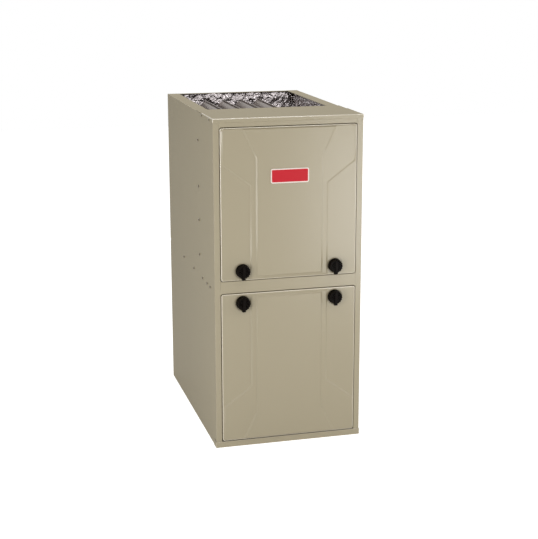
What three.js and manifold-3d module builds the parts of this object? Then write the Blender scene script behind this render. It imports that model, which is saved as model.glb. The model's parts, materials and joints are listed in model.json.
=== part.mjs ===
// A forced-air gas furnace: an upright condensing furnace in a painted sheet-steel cabinet with two doors.
// Millimetres, +Z up, front facing -Y. The origin is the centre of the cabinet's base, on the floor.
import * as THREE from "three";
import { mergeVertices } from "three/addons/utils/BufferGeometryUtils.js";
import Module from "manifold-3d";

const wasm = await Module();
wasm.setup();

// ---------------------------------------------------------------- driving dimensions
// Cabinet
const casingWidth = 460;
const casingDepth = 724;
const casingHeight = 1016;
const sheet = 1.2; // cabinet sheet steel
const seam = 0.3; // clearance between pieces that touch
const joggle = 0.3; // how far the sides are set in where the rail, plate and strip lap them
const stileWidth = 17.5; // front face beside the doors
const stileReturn = 12; // fold behind the edge of the front openings
const openingRadius = 8; // corners of the front openings
const baseRailHeight = 19;
const baseRailWrap = 30; // how far the base rail runs back along the sides
const midRailHeight = 36.5;
const headerHeight = 25.5; // top of the upper opening to the top of the cabinet
const plateDepth = 150; // top plate over the burner compartment
const plateLip = 11.5; // its folded-down edge
const plateLap = 13; // how far it covers the strip behind it
const vestibuleDepth = 238; // cabinet front to the panel that holds the cells
const sideTopFlange = 38;
const backTopFlange = 15;
const backEdgeFlange = 20;
const deckFrontInset = 22; // cabinet front to the blower deck's front edge
const deckFlange = 22;
const panFlange = 25;
const tabNotch = { height: 9, depth: 5 }; // slot for the deck's rear tab
const wireHole = 11; // radius of the wiring entry in the right side

// Doors
const doorGap = 2.2; // all round, to the opening
const doorRadius = 6;
const doorReturn = 18; // depth of the door's edge behind the cabinet front
const doorProud = 3; // outer fields in front of the cabinet front
const reliefStep = 3; // one level of the pressed relief
const reliefDraft = 2; // width of its sloping walls
const channelHalf = 121.5; // outer wall of the pressed channel
const centreHalf = 104.5; // centre field's half width
const centreFlare = 149; // where it meets the door's far edge
const centreKnee = 92; // far edge to the knee of the centre field
const channelKnee = 174; // far edge to the knee of the channel
const channelEdge = 108; // far edge to where the channel reaches the side
const doorHook = { x: 120, width: 30, thickness: 2 }; // tabs that seat the door's far edge
const linerMargin = 14;
const linerThickness = 12;

// Latch knobs
const knobSpread = 144.5; // from the centre line
const knobInset = 31; // from the edge of the mid rail
const knobRadius = 21.5;
const knobHeight = 20;
const knobDish = { radius: 24, depth: 2 };
const knobFlutes = 16;
const pointer = { width: 11, reach: 25.5 };
const latchShaft = 8;
const latchWing = { width: 12, thickness: 3 };
const latchClearance = 1.4; // wing tip to the rail

// Badge plate
const badge = { width: 118, height: 44, thickness: 2, rim: 3, sink: 0.6, radius: 6, centreZ: 842 };

// Heat exchanger
const cellCount = 4;
const cellPitch = 62;
const cellShift = -22; // the cells sit left of the centre line
const couplingGap = 3.2; // coupling box to the rear insulation
const cellTopDrop = 17; // cabinet casing's edge to the top of the cells
const cellPasses = 4;
const passPitch = 70;
const passHalfWidth = 19;
const passHalfHeight = 25;
const cellWeb = 5;
const cellSeam = { width: 3, height: 6 };
const portRadius = 17;
const portWall = 1.5;
const linerTop = 14; // foil-faced insulation: thickness at its top edge
const linerFoot = 26; // and lower down
const linerSlope = 80;

// Condensing coil
const coil = { sideGap: 68.5, rise: 67, headroom: 30, fins: 15, finThickness: 3, core: 12 };
const couplingDepth = 38;
const boxWall = 1.5;

// Collector box and inducer
const collector = { overlap: 5, rise: 52, height: 140, depth: 36, wall: 3, spigot: 14, barb: 9 };
const inducer = { x: -40, rise: 80, start: 62, end: 92, depth: 44, wall: 3, top: 98, from: 55 };
const inducerEye = 32;
const inducerWheel = { radius: 50, width: 28, blades: 12, shaft: 4 };
const inducerMotor = { radius: 36, length: 60 };
const ventRise = 160; // inducer axis to the vent pipe's axis
const ventRadius = 28;
const ventWall = 2.5;
const pipeHoleClearance = 0.5;

// Burners and gas train
const burnerBox = { side: 45, below: 50, above: 40, depth: 111 }; // from the burners' axes
const burnerRadius = 15;
const burnerLength = 88;
const manifoldRadius = 10.7;
const manifoldStandoff = 27; // its axis in front of the burner box
const manifoldEnd = 34; // past the end burners' axes
const spudRadius = 4;
const gasValve = { width: 62, depth: 75, height: 60, drop: 104 };
const gasKnob = { radius: 9, height: 9 };
const intake = { radius: 30, wall: 2.5, below: 7, front: 61 };
const resetButton = { radius: 3, travel: 2, reach: 5 };
const rolloutRadius = 12;

// Blower
const wheel = { y: 10, z: 280, radius: 127, bladeDepth: 20, width: 200, blades: 26, shaft: 6.3 };
const scroll = { start: 140, end: 215, width: 230, from: 70 };
const inletRadius = 112;
const housingFlange = 12;
const housingDrop = 5; // deck underside to the housing's flange
const blowerMotor = { radius: 62, from: 30, length: 120 };
const motorBand = 3;
const bracketLap = 14; // bracket arms past the inlet's edge
const runningGap = 0.3;

// Controls
const controlBox = { width: 168, height: 135, depth: 45, drop: 28, front: 37 };
const doorSwitch = { side: 26.5, drop: 40, width: 22, height: 27, depth: 32, plunger: 3.3, travel: 3 };
const trap = { width: 38, depth: 70, height: 140, below: 25, back: 112, spigot: 12 };
const junctionBox = { width: 58, depth: 60, height: 70, drop: 58, front: 37 };
const hoseRadius = 8;
const harnessSide = 38.5; // side wall to the harness
const pressureSwitch = { side: 41.5, above: 70, radius: 30 };
const limitAbove = 90; // pressure switch to the limit switch

// ---------------------------------------------------------------- worked out
const halfWidth = casingWidth / 2;
const frontY = -casingDepth / 2;
const backY = casingDepth / 2;
const innerHalf = halfWidth - sheet - seam; // what stands between the sides
const plateTop = casingHeight;
const stripTop = plateTop - sheet - seam;
const casingTop = stripTop - sheet - seam;
const midZ = casingHeight / 2;
const lowerOpening = { bottom: baseRailHeight, top: midZ - midRailHeight / 2 };
const upperOpening = { bottom: midZ + midRailHeight / 2, top: casingHeight - headerHeight };
const openingHalf = halfWidth - stileWidth;
const panelY = frontY + vestibuleDepth; // front face of the cell panel
const deckTop = midZ;
const deckBottom = deckTop - sheet;
const deckFrontY = frontY + deckFrontInset;
const backPanelY = backY - 2 * sheet - seam; // its inner face
const fieldY = frontY - doorProud; // front of the doors' outer fields
const doorBackY = frontY + doorReturn;
const cellTop = casingTop - cellTopDrop;
const cellXs = [];
for (let i = 0; i < cellCount; i++) cellXs.push(cellShift + (i - (cellCount - 1) / 2) * cellPitch);
const topPassZ = cellTop - cellSeam.height - passHalfHeight;
const cellBottom = topPassZ - (cellPasses - 1) * passPitch - passHalfHeight;
const cellFrontY = panelY + sheet + seam;
const couplingY = backPanelY - seam - linerFoot - couplingGap - couplingDepth;
const cellBackY = couplingY - seam;
const cellLength = cellBackY - cellFrontY;
const portZ = topPassZ;
const burnerLeft = Math.min(...cellXs) - burnerBox.side;
const burnerRight = Math.max(...cellXs) + burnerBox.side;
const burnerBottom = portZ - burnerBox.below;
const burnerTop = portZ + burnerBox.above;
const intakeY = panelY - intake.front;
const intakeZ = portZ - intake.below;
const gasY = panelY - burnerBox.depth - manifoldStandoff;
const valveTop = portZ - gasValve.drop;
const legX = Math.max(...cellXs) + manifoldEnd + 3 * manifoldRadius; // manifold's down leg
const gasPipeZ = valveTop - gasValve.height / 2;
const coilHalf = innerHalf - coil.sideGap;
const coilBottom = deckTop + coil.rise;
const coilTop = cellBottom - coil.headroom;
const collectorLeft = -coilHalf - collector.overlap;
const collectorRight = coilHalf + collector.overlap;
const collectorBottom = deckTop + collector.rise;
const collectorTop = collectorBottom + collector.height;
const inducerZ = collectorBottom + inducer.rise;
const ventZ = inducerZ + ventRise;
const collectorFrontY = panelY - seam - collector.depth;
const inducerBackY = collectorFrontY - seam;
const inducerFrontY = inducerBackY - inducer.depth;
const inducerMidY = (inducerBackY + inducerFrontY) / 2;
const housingTop = deckBottom - housingDrop;
const controlTop = deckTop - controlBox.drop;
const controlBottom = controlTop - controlBox.height;
const trapTop = controlBottom - trap.below;
const trapBottom = trapTop - trap.height;
const junctionTop = deckTop - junctionBox.drop;
const wireZ = junctionTop - junctionBox.height / 2;
const switchX = openingHalf - doorSwitch.side;
const switchZ = deckTop - doorSwitch.drop;
const harnessX = -innerHalf + harnessSide;
const harnessY = panelY - 40;
const pressureX = -innerHalf + pressureSwitch.side;
const pressureZ = collectorTop + pressureSwitch.above;
const limitZ = pressureZ + limitAbove;
const latchWingY = doorBackY + 0.4; // just behind the door's edge
const linerBackY = fieldY + sheet + seam + linerThickness;
const hookY = frontY + stileReturn / 2; // the doors' tabs, inside the folds of the rails

// ---------------------------------------------------------------- making solids
const UP = new THREE.Vector3(0, 0, 1);
const RIGHT = new THREE.Vector3(1, 0, 0);
const BACK = new THREE.Vector3(0, 1, 0);
// An outline (u, v) extruded along an axis: x takes (y, z), y takes (x, z), z takes (x, y).
const bases = {
  x: new THREE.Matrix4().makeBasis(BACK, UP, RIGHT),
  y: new THREE.Matrix4().makeBasis(RIGHT, UP, BACK.clone().negate()),
  z: new THREE.Matrix4(),
};

function solid(geometry) {
  const g = geometry.index ? geometry.toNonIndexed() : geometry.clone();
  g.deleteAttribute("normal");
  g.deleteAttribute("uv");
  const merged = mergeVertices(g, 1e-4);
  const triVerts = new Uint32Array(merged.index.array);
  const build = () =>
    new wasm.Manifold(
      new wasm.Mesh({ numProp: 3, vertProperties: merged.attributes.position.array, triVerts }),
    );
  const made = build();
  if (made.volume() >= 0) return made;
  for (let i = 0; i < triVerts.length; i += 3) {
    [triVerts[i + 1], triVerts[i + 2]] = [triVerts[i + 2], triVerts[i + 1]];
  }
  return build();
}

function join(...solids) {
  return solids.reduce((a, b) => a.add(b));
}

function cut(body, ...tools) {
  return tools.reduce((a, b) => a.subtract(b), body);
}

function box(x0, x1, y0, y1, z0, z1) {
  const g = new THREE.BoxGeometry(Math.abs(x1 - x0), Math.abs(y1 - y0), Math.abs(z1 - z0));
  return solid(g.translate((x0 + x1) / 2, (y0 + y1) / 2, (z0 + z1) / 2));
}

function shapeOf(points) {
  return new THREE.Shape(points.map(([u, v]) => new THREE.Vector2(u, v)));
}

function prism(outline, axis, low, high, holes = []) {
  const shape = shapeOf(outline);
  shape.holes = holes.map((h) => new THREE.Path(h.map(([u, v]) => new THREE.Vector2(u, v))));
  const g = new THREE.ExtrudeGeometry(shape, { depth: high - low, bevelEnabled: false });
  g.applyMatrix4(bases[axis]);
  const along = axis === "y" ? high : low;
  const shift = { x: [along, 0, 0], y: [0, along, 0], z: [0, 0, along] }[axis];
  return solid(g.translate(...shift));
}

function circle(u, v, radius, sides = 24) {
  return Array.from({ length: sides }, (_, i) => {
    const a = ((i + 0.5) / sides) * 2 * Math.PI;
    return [u + radius * Math.cos(a), v + radius * Math.sin(a)];
  });
}

function rod(axis, u, v, radius, low, high, sides = 24) {
  return prism(circle(u, v, radius, sides), axis, low, high);
}

function rectangle(u0, u1, v0, v1) {
  return [
    [u0, v0],
    [u1, v0],
    [u1, v1],
    [u0, v1],
  ];
}

function roundedRectangle(u0, u1, v0, v1, radius, steps = 4) {
  const corners = [
    [u1 - radius, v1 - radius, 0],
    [u0 + radius, v1 - radius, 1],
    [u0 + radius, v0 + radius, 2],
    [u1 - radius, v0 + radius, 3],
  ];
  return corners.flatMap(([cu, cv, quarter]) =>
    Array.from({ length: steps + 1 }, (_, i) => {
      const a = (quarter + i / steps) * (Math.PI / 2);
      return [cu + radius * Math.cos(a), cv + radius * Math.sin(a)];
    }),
  );
}

// A pipe or rod that follows points; it starts and ends square to its path.
function pipe(points, radius, wall = 0, sides = 12, steps = 24) {
  const shape = shapeOf(circle(0, 0, radius, sides));
  if (wall) {
    const bore = circle(0, 0, radius - wall, sides);
    shape.holes = [new THREE.Path(bore.map(([u, v]) => new THREE.Vector2(u, v)))];
  }
  const curve = new THREE.CatmullRomCurve3(
    points.map((p) => new THREE.Vector3(...p)),
    false,
    "centripetal",
  );
  return solid(new THREE.ExtrudeGeometry(shape, { steps, bevelEnabled: false, extrudePath: curve }));
}

// The outline moved inwards by a distance, corner by corner.
function inset(outline, distance) {
  const n = outline.length;
  return outline.map((p, i) => {
    const a = outline[(i + n - 1) % n];
    const b = outline[(i + 1) % n];
    const normal = ([u0, v0], [u1, v1]) => {
      const length = Math.hypot(u1 - u0, v1 - v0);
      return [-(v1 - v0) / length, (u1 - u0) / length];
    };
    const n0 = normal(a, p);
    const n1 = normal(p, b);
    const k = distance / (1 + n0[0] * n1[0] + n0[1] * n1[1]);
    return [p[0] + k * (n0[0] + n1[0]), p[1] + k * (n0[1] + n1[1])];
  });
}

// A raised field on a front face: its outline at y = foot, drawn in by the draft at y = head.
function raisedField(outline, foot, head, draft) {
  const rings = [
    outline.map(([u, v]) => [u, foot, v]),
    inset(outline, draft).map(([u, v]) => [u, head, v]),
  ];
  const position = [];
  const face = (...corners) => corners.forEach((c) => position.push(...c));
  const n = outline.length;
  for (let i = 0; i < n; i++) {
    const j = (i + 1) % n;
    face(rings[0][i], rings[0][j], rings[1][j]);
    face(rings[0][i], rings[1][j], rings[1][i]);
  }
  rings.forEach((ring, k) => {
    const flat = ring.map(([u, , v]) => new THREE.Vector2(u, v));
    for (const [a, b, c] of THREE.ShapeUtils.triangulateShape(flat, [])) {
      if (k === 0) face(ring[a], ring[c], ring[b]);
      else face(ring[a], ring[b], ring[c]);
    }
  });
  const g = new THREE.BufferGeometry();
  g.setAttribute("position", new THREE.Float32BufferAttribute(position, 3));
  return solid(g);
}

// A fan scroll's outline about (0, 0): it grows as it turns and leaves straight up.
function scrollOutline(start, end, fromDeg, top, ductLeft, steps = 36) {
  const from = (fromDeg * Math.PI) / 180;
  const points = [];
  for (let i = 0; i <= steps; i++) {
    const t = i / steps;
    const a = from + t * (2 * Math.PI - from);
    const r = start + t * (end - start);
    points.push([r * Math.cos(a), r * Math.sin(a)]);
  }
  points.push([end, top], [ductLeft, top]);
  return points;
}

function moved(points, du, dv) {
  return points.map(([u, v]) => [u + du, v + dv]);
}

// ---------------------------------------------------------------- the object
const furnace = new THREE.Group();
furnace.name = "forced_air_gas_furnace";

const finishes = {
  paint: [0xb1a68e, 0.5, 0.1],
  galvanised: [0xa9adb0, 0.45, 0.85],
  aluminised: [0x8d8488, 0.4, 0.9],
  foil: [0xc9c2c4, 0.3, 1],
  blackPlastic: [0x1a1612, 0.45, 0],
  redPlate: [0xce3440, 0.4, 0],
  greyPlastic: [0x55585a, 0.6, 0],
  whitePlastic: [0xe4e2da, 0.5, 0],
  blackSteel: [0x2a2a2b, 0.55, 0.5],
  castAluminium: [0xb4b6b8, 0.5, 0.9],
  motorPaint: [0x30343a, 0.5, 0.2],
  rubber: [0x1c1c1c, 0.9, 0],
  circuitBoard: [0x1f5c38, 0.6, 0],
  ceramic: [0xe8e4d8, 0.7, 0],
  copper: [0xb06a3c, 0.4, 0.9],
  redButton: [0xb02a22, 0.5, 0],
};

function add(name, body, finish, place) {
  const data = body.getMesh();
  const g = new THREE.BufferGeometry();
  const position = new Float32Array(data.numVert * 3);
  for (let i = 0; i < data.numVert; i++) {
    const at = i * data.numProp;
    position.set(data.vertProperties.subarray(at, at + 3), i * 3);
  }
  g.setAttribute("position", new THREE.BufferAttribute(position, 3));
  g.setIndex(new THREE.BufferAttribute(new Uint32Array(data.triVerts), 1));
  const [color, roughness, metalness] = finishes[finish];
  const mesh = new THREE.Mesh(g, new THREE.MeshStandardMaterial({ color, roughness, metalness }));
  mesh.name = name;
  if (place) mesh.position.set(...place);
  furnace.add(mesh);
}

// Cabinet side: wall, front stile with its fold, top flange and rear flange, bent from one sheet.
function sidePanel(side) {
  const across = (a, b, y0, y1, z0, z1) => box(side * a, side * b, y0, y1, z0, z1);
  const inner = halfWidth - sheet;
  const edge = halfWidth - stileWidth;
  const foot = sheet + seam;
  const flangeFrontY = deckFrontY;
  const body = join(
    across(inner, halfWidth, frontY, backY, 0, casingTop),
    across(edge, halfWidth, frontY, frontY + sheet, foot, casingTop),
    across(edge, edge + sheet, frontY, frontY + stileReturn, foot, casingTop),
    across(halfWidth - sideTopFlange, halfWidth, flangeFrontY, backY, casingTop - sheet, casingTop),
    across(halfWidth - backEdgeFlange, halfWidth, backY - sheet, backY, 0, casingTop),
  );
  const notchZ = deckTop - tabNotch.height;
  const notch = across(inner - 4, halfWidth + 1, backY - tabNotch.depth, backY + 1, notchZ, deckTop);
  const lapX = halfWidth - joggle;
  const railLapY = frontY + baseRailWrap + seam;
  const plateLapY = frontY + plateDepth + seam;
  const stripLapY = panelY + sheet + seam;
  const laps = [
    across(lapX, halfWidth + 1, frontY - 1, railLapY, -1, baseRailHeight + seam),
    across(lapX, halfWidth + 1, frontY - 1, plateLapY, plateTop - plateLip - seam, casingTop + 1),
    across(edge - 1, halfWidth + 1, frontY - 1, stripLapY, casingTop - joggle, casingTop + 1),
    across(halfWidth - sideTopFlange - 1, lapX, deckFrontY - 1, stripLapY, casingTop - joggle, casingTop + 1),
  ];
  if (side < 0) return cut(body, notch, ...laps);
  const through = (y, z, radius) => rod("x", y, z, radius, inner - 1, halfWidth + 1);
  return cut(
    body,
    notch,
    ...laps,
    through(inducerMidY, ventZ, ventRadius + pipeHoleClearance),
    through(intakeY, intakeZ, intake.radius + pipeHoleClearance),
    through(gasY, gasPipeZ, manifoldRadius + pipeHoleClearance),
    through(frontY + junctionBox.front + junctionBox.depth / 2, wireZ, wireHole),
  );
}
add("left_side_panel", sidePanel(-1), "paint");
add("right_side_panel", sidePanel(1), "paint");

// Back panel, held inside the rear flanges of the sides.
const backFlangeHalf = halfWidth - sideTopFlange - seam;
const backPanelTop = casingTop - sheet - seam;
add(
  "back_panel",
  join(
    box(-innerHalf, innerHalf, backPanelY, backPanelY + sheet, 0, backPanelTop),
    box(-backFlangeHalf, backFlangeHalf, backPanelY, backPanelY + sheet, 0, casingTop),
    box(
      -backFlangeHalf,
      backFlangeHalf,
      backPanelY + sheet - backTopFlange,
      backPanelY + sheet,
      casingTop - sheet,
      casingTop,
    ),
  ),
  "paint",
);

// Base pan: closes the bottom, with its edges turned up inside the cabinet.
const panFrontY = frontY + panFlange;
const panBackY = backPanelY - seam;
add(
  "base_pan",
  join(
    box(-innerHalf, innerHalf, panFrontY, panBackY, 0, sheet),
    box(-innerHalf, -innerHalf + sheet, panFrontY, panBackY, 0, panFlange),
    box(innerHalf - sheet, innerHalf, panFrontY, panBackY, 0, panFlange),
    box(-innerHalf, innerHalf, panBackY - sheet, panBackY, 0, panFlange),
  ),
  "paint",
);

// Base rail: a channel across the front that wraps round both corners.
const outerHalf = halfWidth + seam + sheet;
const railFaceY = frontY - seam - sheet;
add(
  "base_rail",
  join(
    box(-outerHalf, outerHalf, railFaceY, railFaceY + sheet, 0, baseRailHeight),
    box(-outerHalf, -halfWidth - seam, railFaceY, frontY + baseRailWrap, 0, baseRailHeight),
    box(halfWidth + seam, outerHalf, railFaceY, frontY + baseRailWrap, 0, baseRailHeight),
    box(-innerHalf, innerHalf, railFaceY, panFrontY - seam, 0, sheet),
    box(
      -openingHalf + seam,
      openingHalf - seam,
      railFaceY,
      frontY + stileReturn,
      baseRailHeight - sheet,
      baseRailHeight,
    ),
  ),
  "paint",
);

// The two rounded openings of the front, as cutting tools.
const openingTool = (low, high) =>
  prism(
    roundedRectangle(-openingHalf, openingHalf, low, high, openingRadius),
    "y",
    frontY - 1,
    frontY + sheet + 1,
  );
const upperTool = openingTool(upperOpening.bottom, upperOpening.top);
const lowerTool = openingTool(lowerOpening.bottom - 4 * openingRadius, lowerOpening.top);
const railHalf = openingHalf - seam;
const foldHalf = openingHalf - openingRadius;

// Mid rail: the channel between the doors, with the latches' keeper slots.
const keeper = { width: 22, height: 1.6, rise: 6 };
const keeperSlots = [-1, 1].flatMap((side) =>
  [-1, 1].map((level) => {
    const x = side * knobSpread;
    const z = midZ + level * keeper.rise;
    return box(
      x - keeper.width / 2,
      x + keeper.width / 2,
      frontY - 1,
      frontY + sheet + 1,
      z,
      z + keeper.height,
    );
  }),
);
add(
  "mid_rail",
  cut(
    join(
      cut(
        box(
          -railHalf,
          railHalf,
          frontY,
          frontY + sheet,
          lowerOpening.top - openingRadius,
          upperOpening.bottom + openingRadius,
        ),
        upperTool,
        lowerTool,
      ),
      box(-foldHalf, foldHalf, frontY, deckFrontY - seam, upperOpening.bottom - sheet, upperOpening.bottom),
      box(-foldHalf, foldHalf, frontY, deckFrontY - seam, lowerOpening.top, lowerOpening.top + sheet),
    ),
    ...keeperSlots,
  ),
  "paint",
);

// Header rail over the upper door.
add(
  "header_rail",
  join(
    cut(
      box(-railHalf, railHalf, frontY, frontY + sheet, upperOpening.top - openingRadius, stripTop),
      upperTool,
    ),
    box(-foldHalf, foldHalf, frontY, frontY + stileReturn, upperOpening.top, upperOpening.top + sheet),
    box(-railHalf, railHalf, frontY, frontY + stileReturn, stripTop - sheet, stripTop),
  ),
  "paint",
);

// Strip that closes the top over the cell panel, under the rear edge of the top plate.
const plateBackY = frontY + plateDepth;
add(
  "top_rear_strip",
  box(-halfWidth, halfWidth, plateBackY - plateLap, panelY + sheet, stripTop - sheet, stripTop),
  "paint",
);

// Top plate over the burner compartment, with its front and side edges folded down.
add(
  "top_front_plate",
  cut(
    box(-outerHalf, outerHalf, railFaceY, plateBackY, plateTop - plateLip, plateTop),
    box(
      -halfWidth - seam,
      halfWidth + seam,
      railFaceY + sheet,
      plateBackY + 1,
      plateTop - plateLip - 1,
      plateTop - sheet,
    ),
  ),
  "paint",
);

// Blower deck: the shelf between the two compartments, with the slide rails of the blower under it.
const ductLeft = scroll.start * Math.cos((scroll.from * Math.PI) / 180);
const ductY = { front: wheel.y + ductLeft, back: wheel.y + scroll.end };
const scrollHalf = scroll.width / 2;
const drainX = collectorLeft + 14;
const drainY = collectorFrontY + collector.depth / 2;
function slideRail(side) {
  const across = (a, b, z0, z1) =>
    box(side * a, side * b, wheel.y - scroll.start - 50, ductY.back + 2 * housingFlange, z0, z1);
  const web = scrollHalf + housingFlange + 6 + seam;
  return join(
    across(web, web + sheet, housingTop - 2 * sheet - seam, deckBottom),
    across(web - 10, web + sheet, housingTop - 2 * sheet - seam, housingTop - sheet - seam),
  );
}
add(
  "blower_deck",
  join(
    cut(
      box(-innerHalf, innerHalf, deckFrontY, backPanelY - seam, deckBottom, deckTop),
      box(
        -scrollHalf + sheet,
        scrollHalf - sheet,
        ductY.front + sheet,
        ductY.back - sheet,
        deckBottom - 1,
        deckTop + 1,
      ),
      rod("z", drainX, drainY, hoseRadius + 4, deckBottom - 1, deckTop + 1),
      rod("z", harnessX, harnessY, hoseRadius + 2, deckBottom - 1, deckTop + 1),
    ),
    box(-innerHalf, -innerHalf + sheet, deckFrontY, backPanelY - seam, deckTop - deckFlange, deckTop),
    box(innerHalf - sheet, innerHalf, deckFrontY, backPanelY - seam, deckTop - deckFlange, deckTop),
    box(-innerHalf, innerHalf, deckFrontY, deckFrontY + sheet, deckTop - deckFlange, deckTop),
    slideRail(-1),
    slideRail(1),
  ),
  "galvanised",
);

// Cell panel: the upright panel that the heat exchanger and the burners are fixed to.
const panelHalf = halfWidth - sideTopFlange - seam;
const panelFlange = 25;
add(
  "cell_panel",
  cut(
    join(
      box(-innerHalf, innerHalf, panelY, panelY + sheet, deckTop + seam, casingTop - sheet - seam),
      box(-panelHalf, panelHalf, panelY, panelY + sheet, deckTop + seam, casingTop),
      box(-panelHalf, panelHalf, panelY - panelFlange, panelY + sheet, casingTop - sheet, casingTop),
      ...[-1, 1].map((side) =>
        box(
          side * innerHalf,
          side * (innerHalf - sheet),
          panelY - panelFlange,
          panelY + sheet,
          deckTop + seam,
          casingTop - sheet - seam,
        ),
      ),
    ),
    ...cellXs.map((x) => rod("y", x, portZ, portRadius + seam, panelY - 1, panelY + sheet + 1)),
    box(
      -coilHalf + coil.core,
      coilHalf - coil.core,
      panelY - 1,
      panelY + sheet + 1,
      coilBottom + coil.core,
      coilTop - coil.core,
    ),
  ),
  "galvanised",
);

// Foil-faced insulation: thin at its top edge and thicker lower down.
const linerZ = { top: casingTop - sheet - seam, bottom: deckTop + seam };
function linerSection(wall, inward) {
  return [
    [wall, linerZ.bottom],
    [wall + inward * linerFoot, linerZ.bottom],
    [wall + inward * linerFoot, linerZ.top - linerSlope],
    [wall + inward * linerTop, linerZ.top],
    [wall, linerZ.top],
  ];
}
const sideLinerBackY = backPanelY - linerFoot - 2 * seam;
add("left_liner", prism(linerSection(-innerHalf, 1), "y", cellFrontY, sideLinerBackY), "foil");
add("right_liner", prism(linerSection(innerHalf, -1), "y", cellFrontY, sideLinerBackY), "foil");
const backLiner = linerSection(backPanelY - seam, -1).map(([u, v]) => [
  u,
  Math.min(v, casingTop - sheet - seam),
]);
add("back_liner", prism(backLiner, "x", -innerHalf, innerHalf), "foil");

// Heat exchanger cell: two pressed shells crimped together round four passes, with its burner port.
function exchangerCell() {
  const right = [];
  const arcSteps = 6;
  for (let pass = 0; pass < cellPasses; pass++) {
    const z = topPassZ - pass * passPitch;
    for (let i = 0; i <= arcSteps; i++) {
      const a = Math.PI / 2 - (i / arcSteps) * Math.PI;
      const u = Math.max(cellWeb / 2, passHalfWidth * Math.cos(a));
      right.push([u, z + passHalfHeight * Math.sin(a)]);
    }
  }
  const half = cellSeam.width / 2;
  const outline = [
    [-half, cellTop],
    [half, cellTop],
    [half, cellTop - cellSeam.height],
    ...right,
    ...right.map(([u, v]) => [-u, v]).reverse(),
    [-half, cellTop - cellSeam.height],
  ];
  return cut(
    join(
      prism(outline, "y", cellFrontY, cellBackY),
      rod("y", 0, portZ, portRadius, panelY - 3, cellFrontY + 2),
    ),
    rod("y", 0, portZ, portRadius - portWall, panelY - 4, cellFrontY + 60),
  );
}
cellXs.forEach((x, i) => add(`heat_exchanger_cell_${i + 1}`, exchangerCell(), "aluminised", [x, 0, 0]));

// Condensing coil: a block of fins on its core of tubes, below the cells.
const finPitch = (cellLength - coil.finThickness) / (coil.fins - 1);
add(
  "condensing_coil",
  join(
    box(
      -coilHalf + coil.core,
      coilHalf - coil.core,
      cellFrontY,
      cellBackY,
      coilBottom + coil.core,
      coilTop - coil.core,
    ),
    ...Array.from({ length: coil.fins }, (_, i) => {
      const y = cellFrontY + i * finPitch;
      return box(-coilHalf, coilHalf, y, y + coil.finThickness, coilBottom, coilTop);
    }),
  ),
  "galvanised",
);

// Coupling box: the tray at the rear that turns the flue gas from the cells down into the coil.
const lowPassTop = cellBottom + 2 * passHalfHeight;
add(
  "coupling_box",
  cut(
    box(-coilHalf, coilHalf, couplingY, couplingY + couplingDepth, coilBottom, lowPassTop),
    box(
      -coilHalf + boxWall,
      coilHalf - boxWall,
      couplingY - 1,
      couplingY + couplingDepth - boxWall,
      coilBottom + boxWall,
      lowPassTop - boxWall,
    ),
  ),
  "aluminised",
);

// Collector box: the moulded tray in front of the coil, with its outlet and drain spigot.
const collectorBackY = panelY - seam;
add(
  "collector_box",
  cut(
    join(
      box(
        collectorLeft,
        collectorRight,
        collectorFrontY,
        collectorBackY,
        collectorBottom,
        collectorTop,
      ),
      rod("z", drainX, drainY, hoseRadius - 2, collectorBottom - collector.spigot, collectorBottom + 1, 12),
      rod("z", drainX, drainY, 3, collectorTop - 1, collectorTop + collector.barb, 8),
    ),
    box(
      collectorLeft + collector.wall,
      collectorRight - collector.wall,
      collectorFrontY + collector.wall,
      collectorBackY + 1,
      collectorBottom + collector.wall,
      collectorTop - collector.wall,
    ),
    rod("y", inducer.x, inducerZ, inducerEye, collectorFrontY - 1, collectorFrontY + 5),
  ),
  "blackPlastic",
);

// Inducer: the small fan that draws the flue gas out.
const inducerDuctLeft = inducer.start * Math.cos((inducer.from * Math.PI) / 180);
const inducerShell = scrollOutline(inducer.start, inducer.end, inducer.from, inducer.top, inducerDuctLeft);
const inducerHollow = scrollOutline(
  inducer.start - inducer.wall,
  inducer.end - inducer.wall,
  inducer.from,
  inducer.top + 1,
  inducerDuctLeft + inducer.wall,
);
add(
  "inducer_housing",
  cut(
    prism(moved(inducerShell, inducer.x, inducerZ), "y", inducerFrontY, inducerBackY),
    prism(
      moved(inducerHollow, inducer.x, inducerZ),
      "y",
      inducerFrontY + inducer.wall,
      inducerBackY - inducer.wall,
    ),
    rod("y", inducer.x, inducerZ, inducerEye, inducerBackY - 5, inducerBackY + 1),
    rod("y", inducer.x, inducerZ, inducerWheel.shaft + 2, inducerFrontY - 1, inducerFrontY + 5),
  ),
  "blackPlastic",
);

function radialBlades(count, innerRadius, outerRadius, thickness, low, high) {
  return Array.from({ length: count }, (_, i) => {
    const blade = box(innerRadius, outerRadius, low, high, -thickness / 2, thickness / 2);
    return blade.rotate([0, (360 * i) / count, 0]);
  });
}
const inducerWheelHalf = inducerWheel.width / 2;
add(
  "inducer_wheel",
  join(
    rod("y", 0, 0, inducerWheel.radius, -inducerWheelHalf, -inducerWheelHalf + 2, 32),
    rod("y", 0, 0, 10, -inducerWheelHalf, inducerWheelHalf - 8, 16),
    rod("y", 0, 0, inducerWheel.shaft, inducerFrontY - 30 - inducerMidY, 0, 12),
    ...radialBlades(
      inducerWheel.blades,
      6,
      inducerWheel.radius - 1,
      1.6,
      -inducerWheelHalf,
      inducerWheelHalf,
    ),
  ),
  "blackPlastic",
  [inducer.x, inducerMidY, inducerZ],
);
const inducerMotorFront = inducerFrontY - seam - inducerMotor.length;
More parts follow.
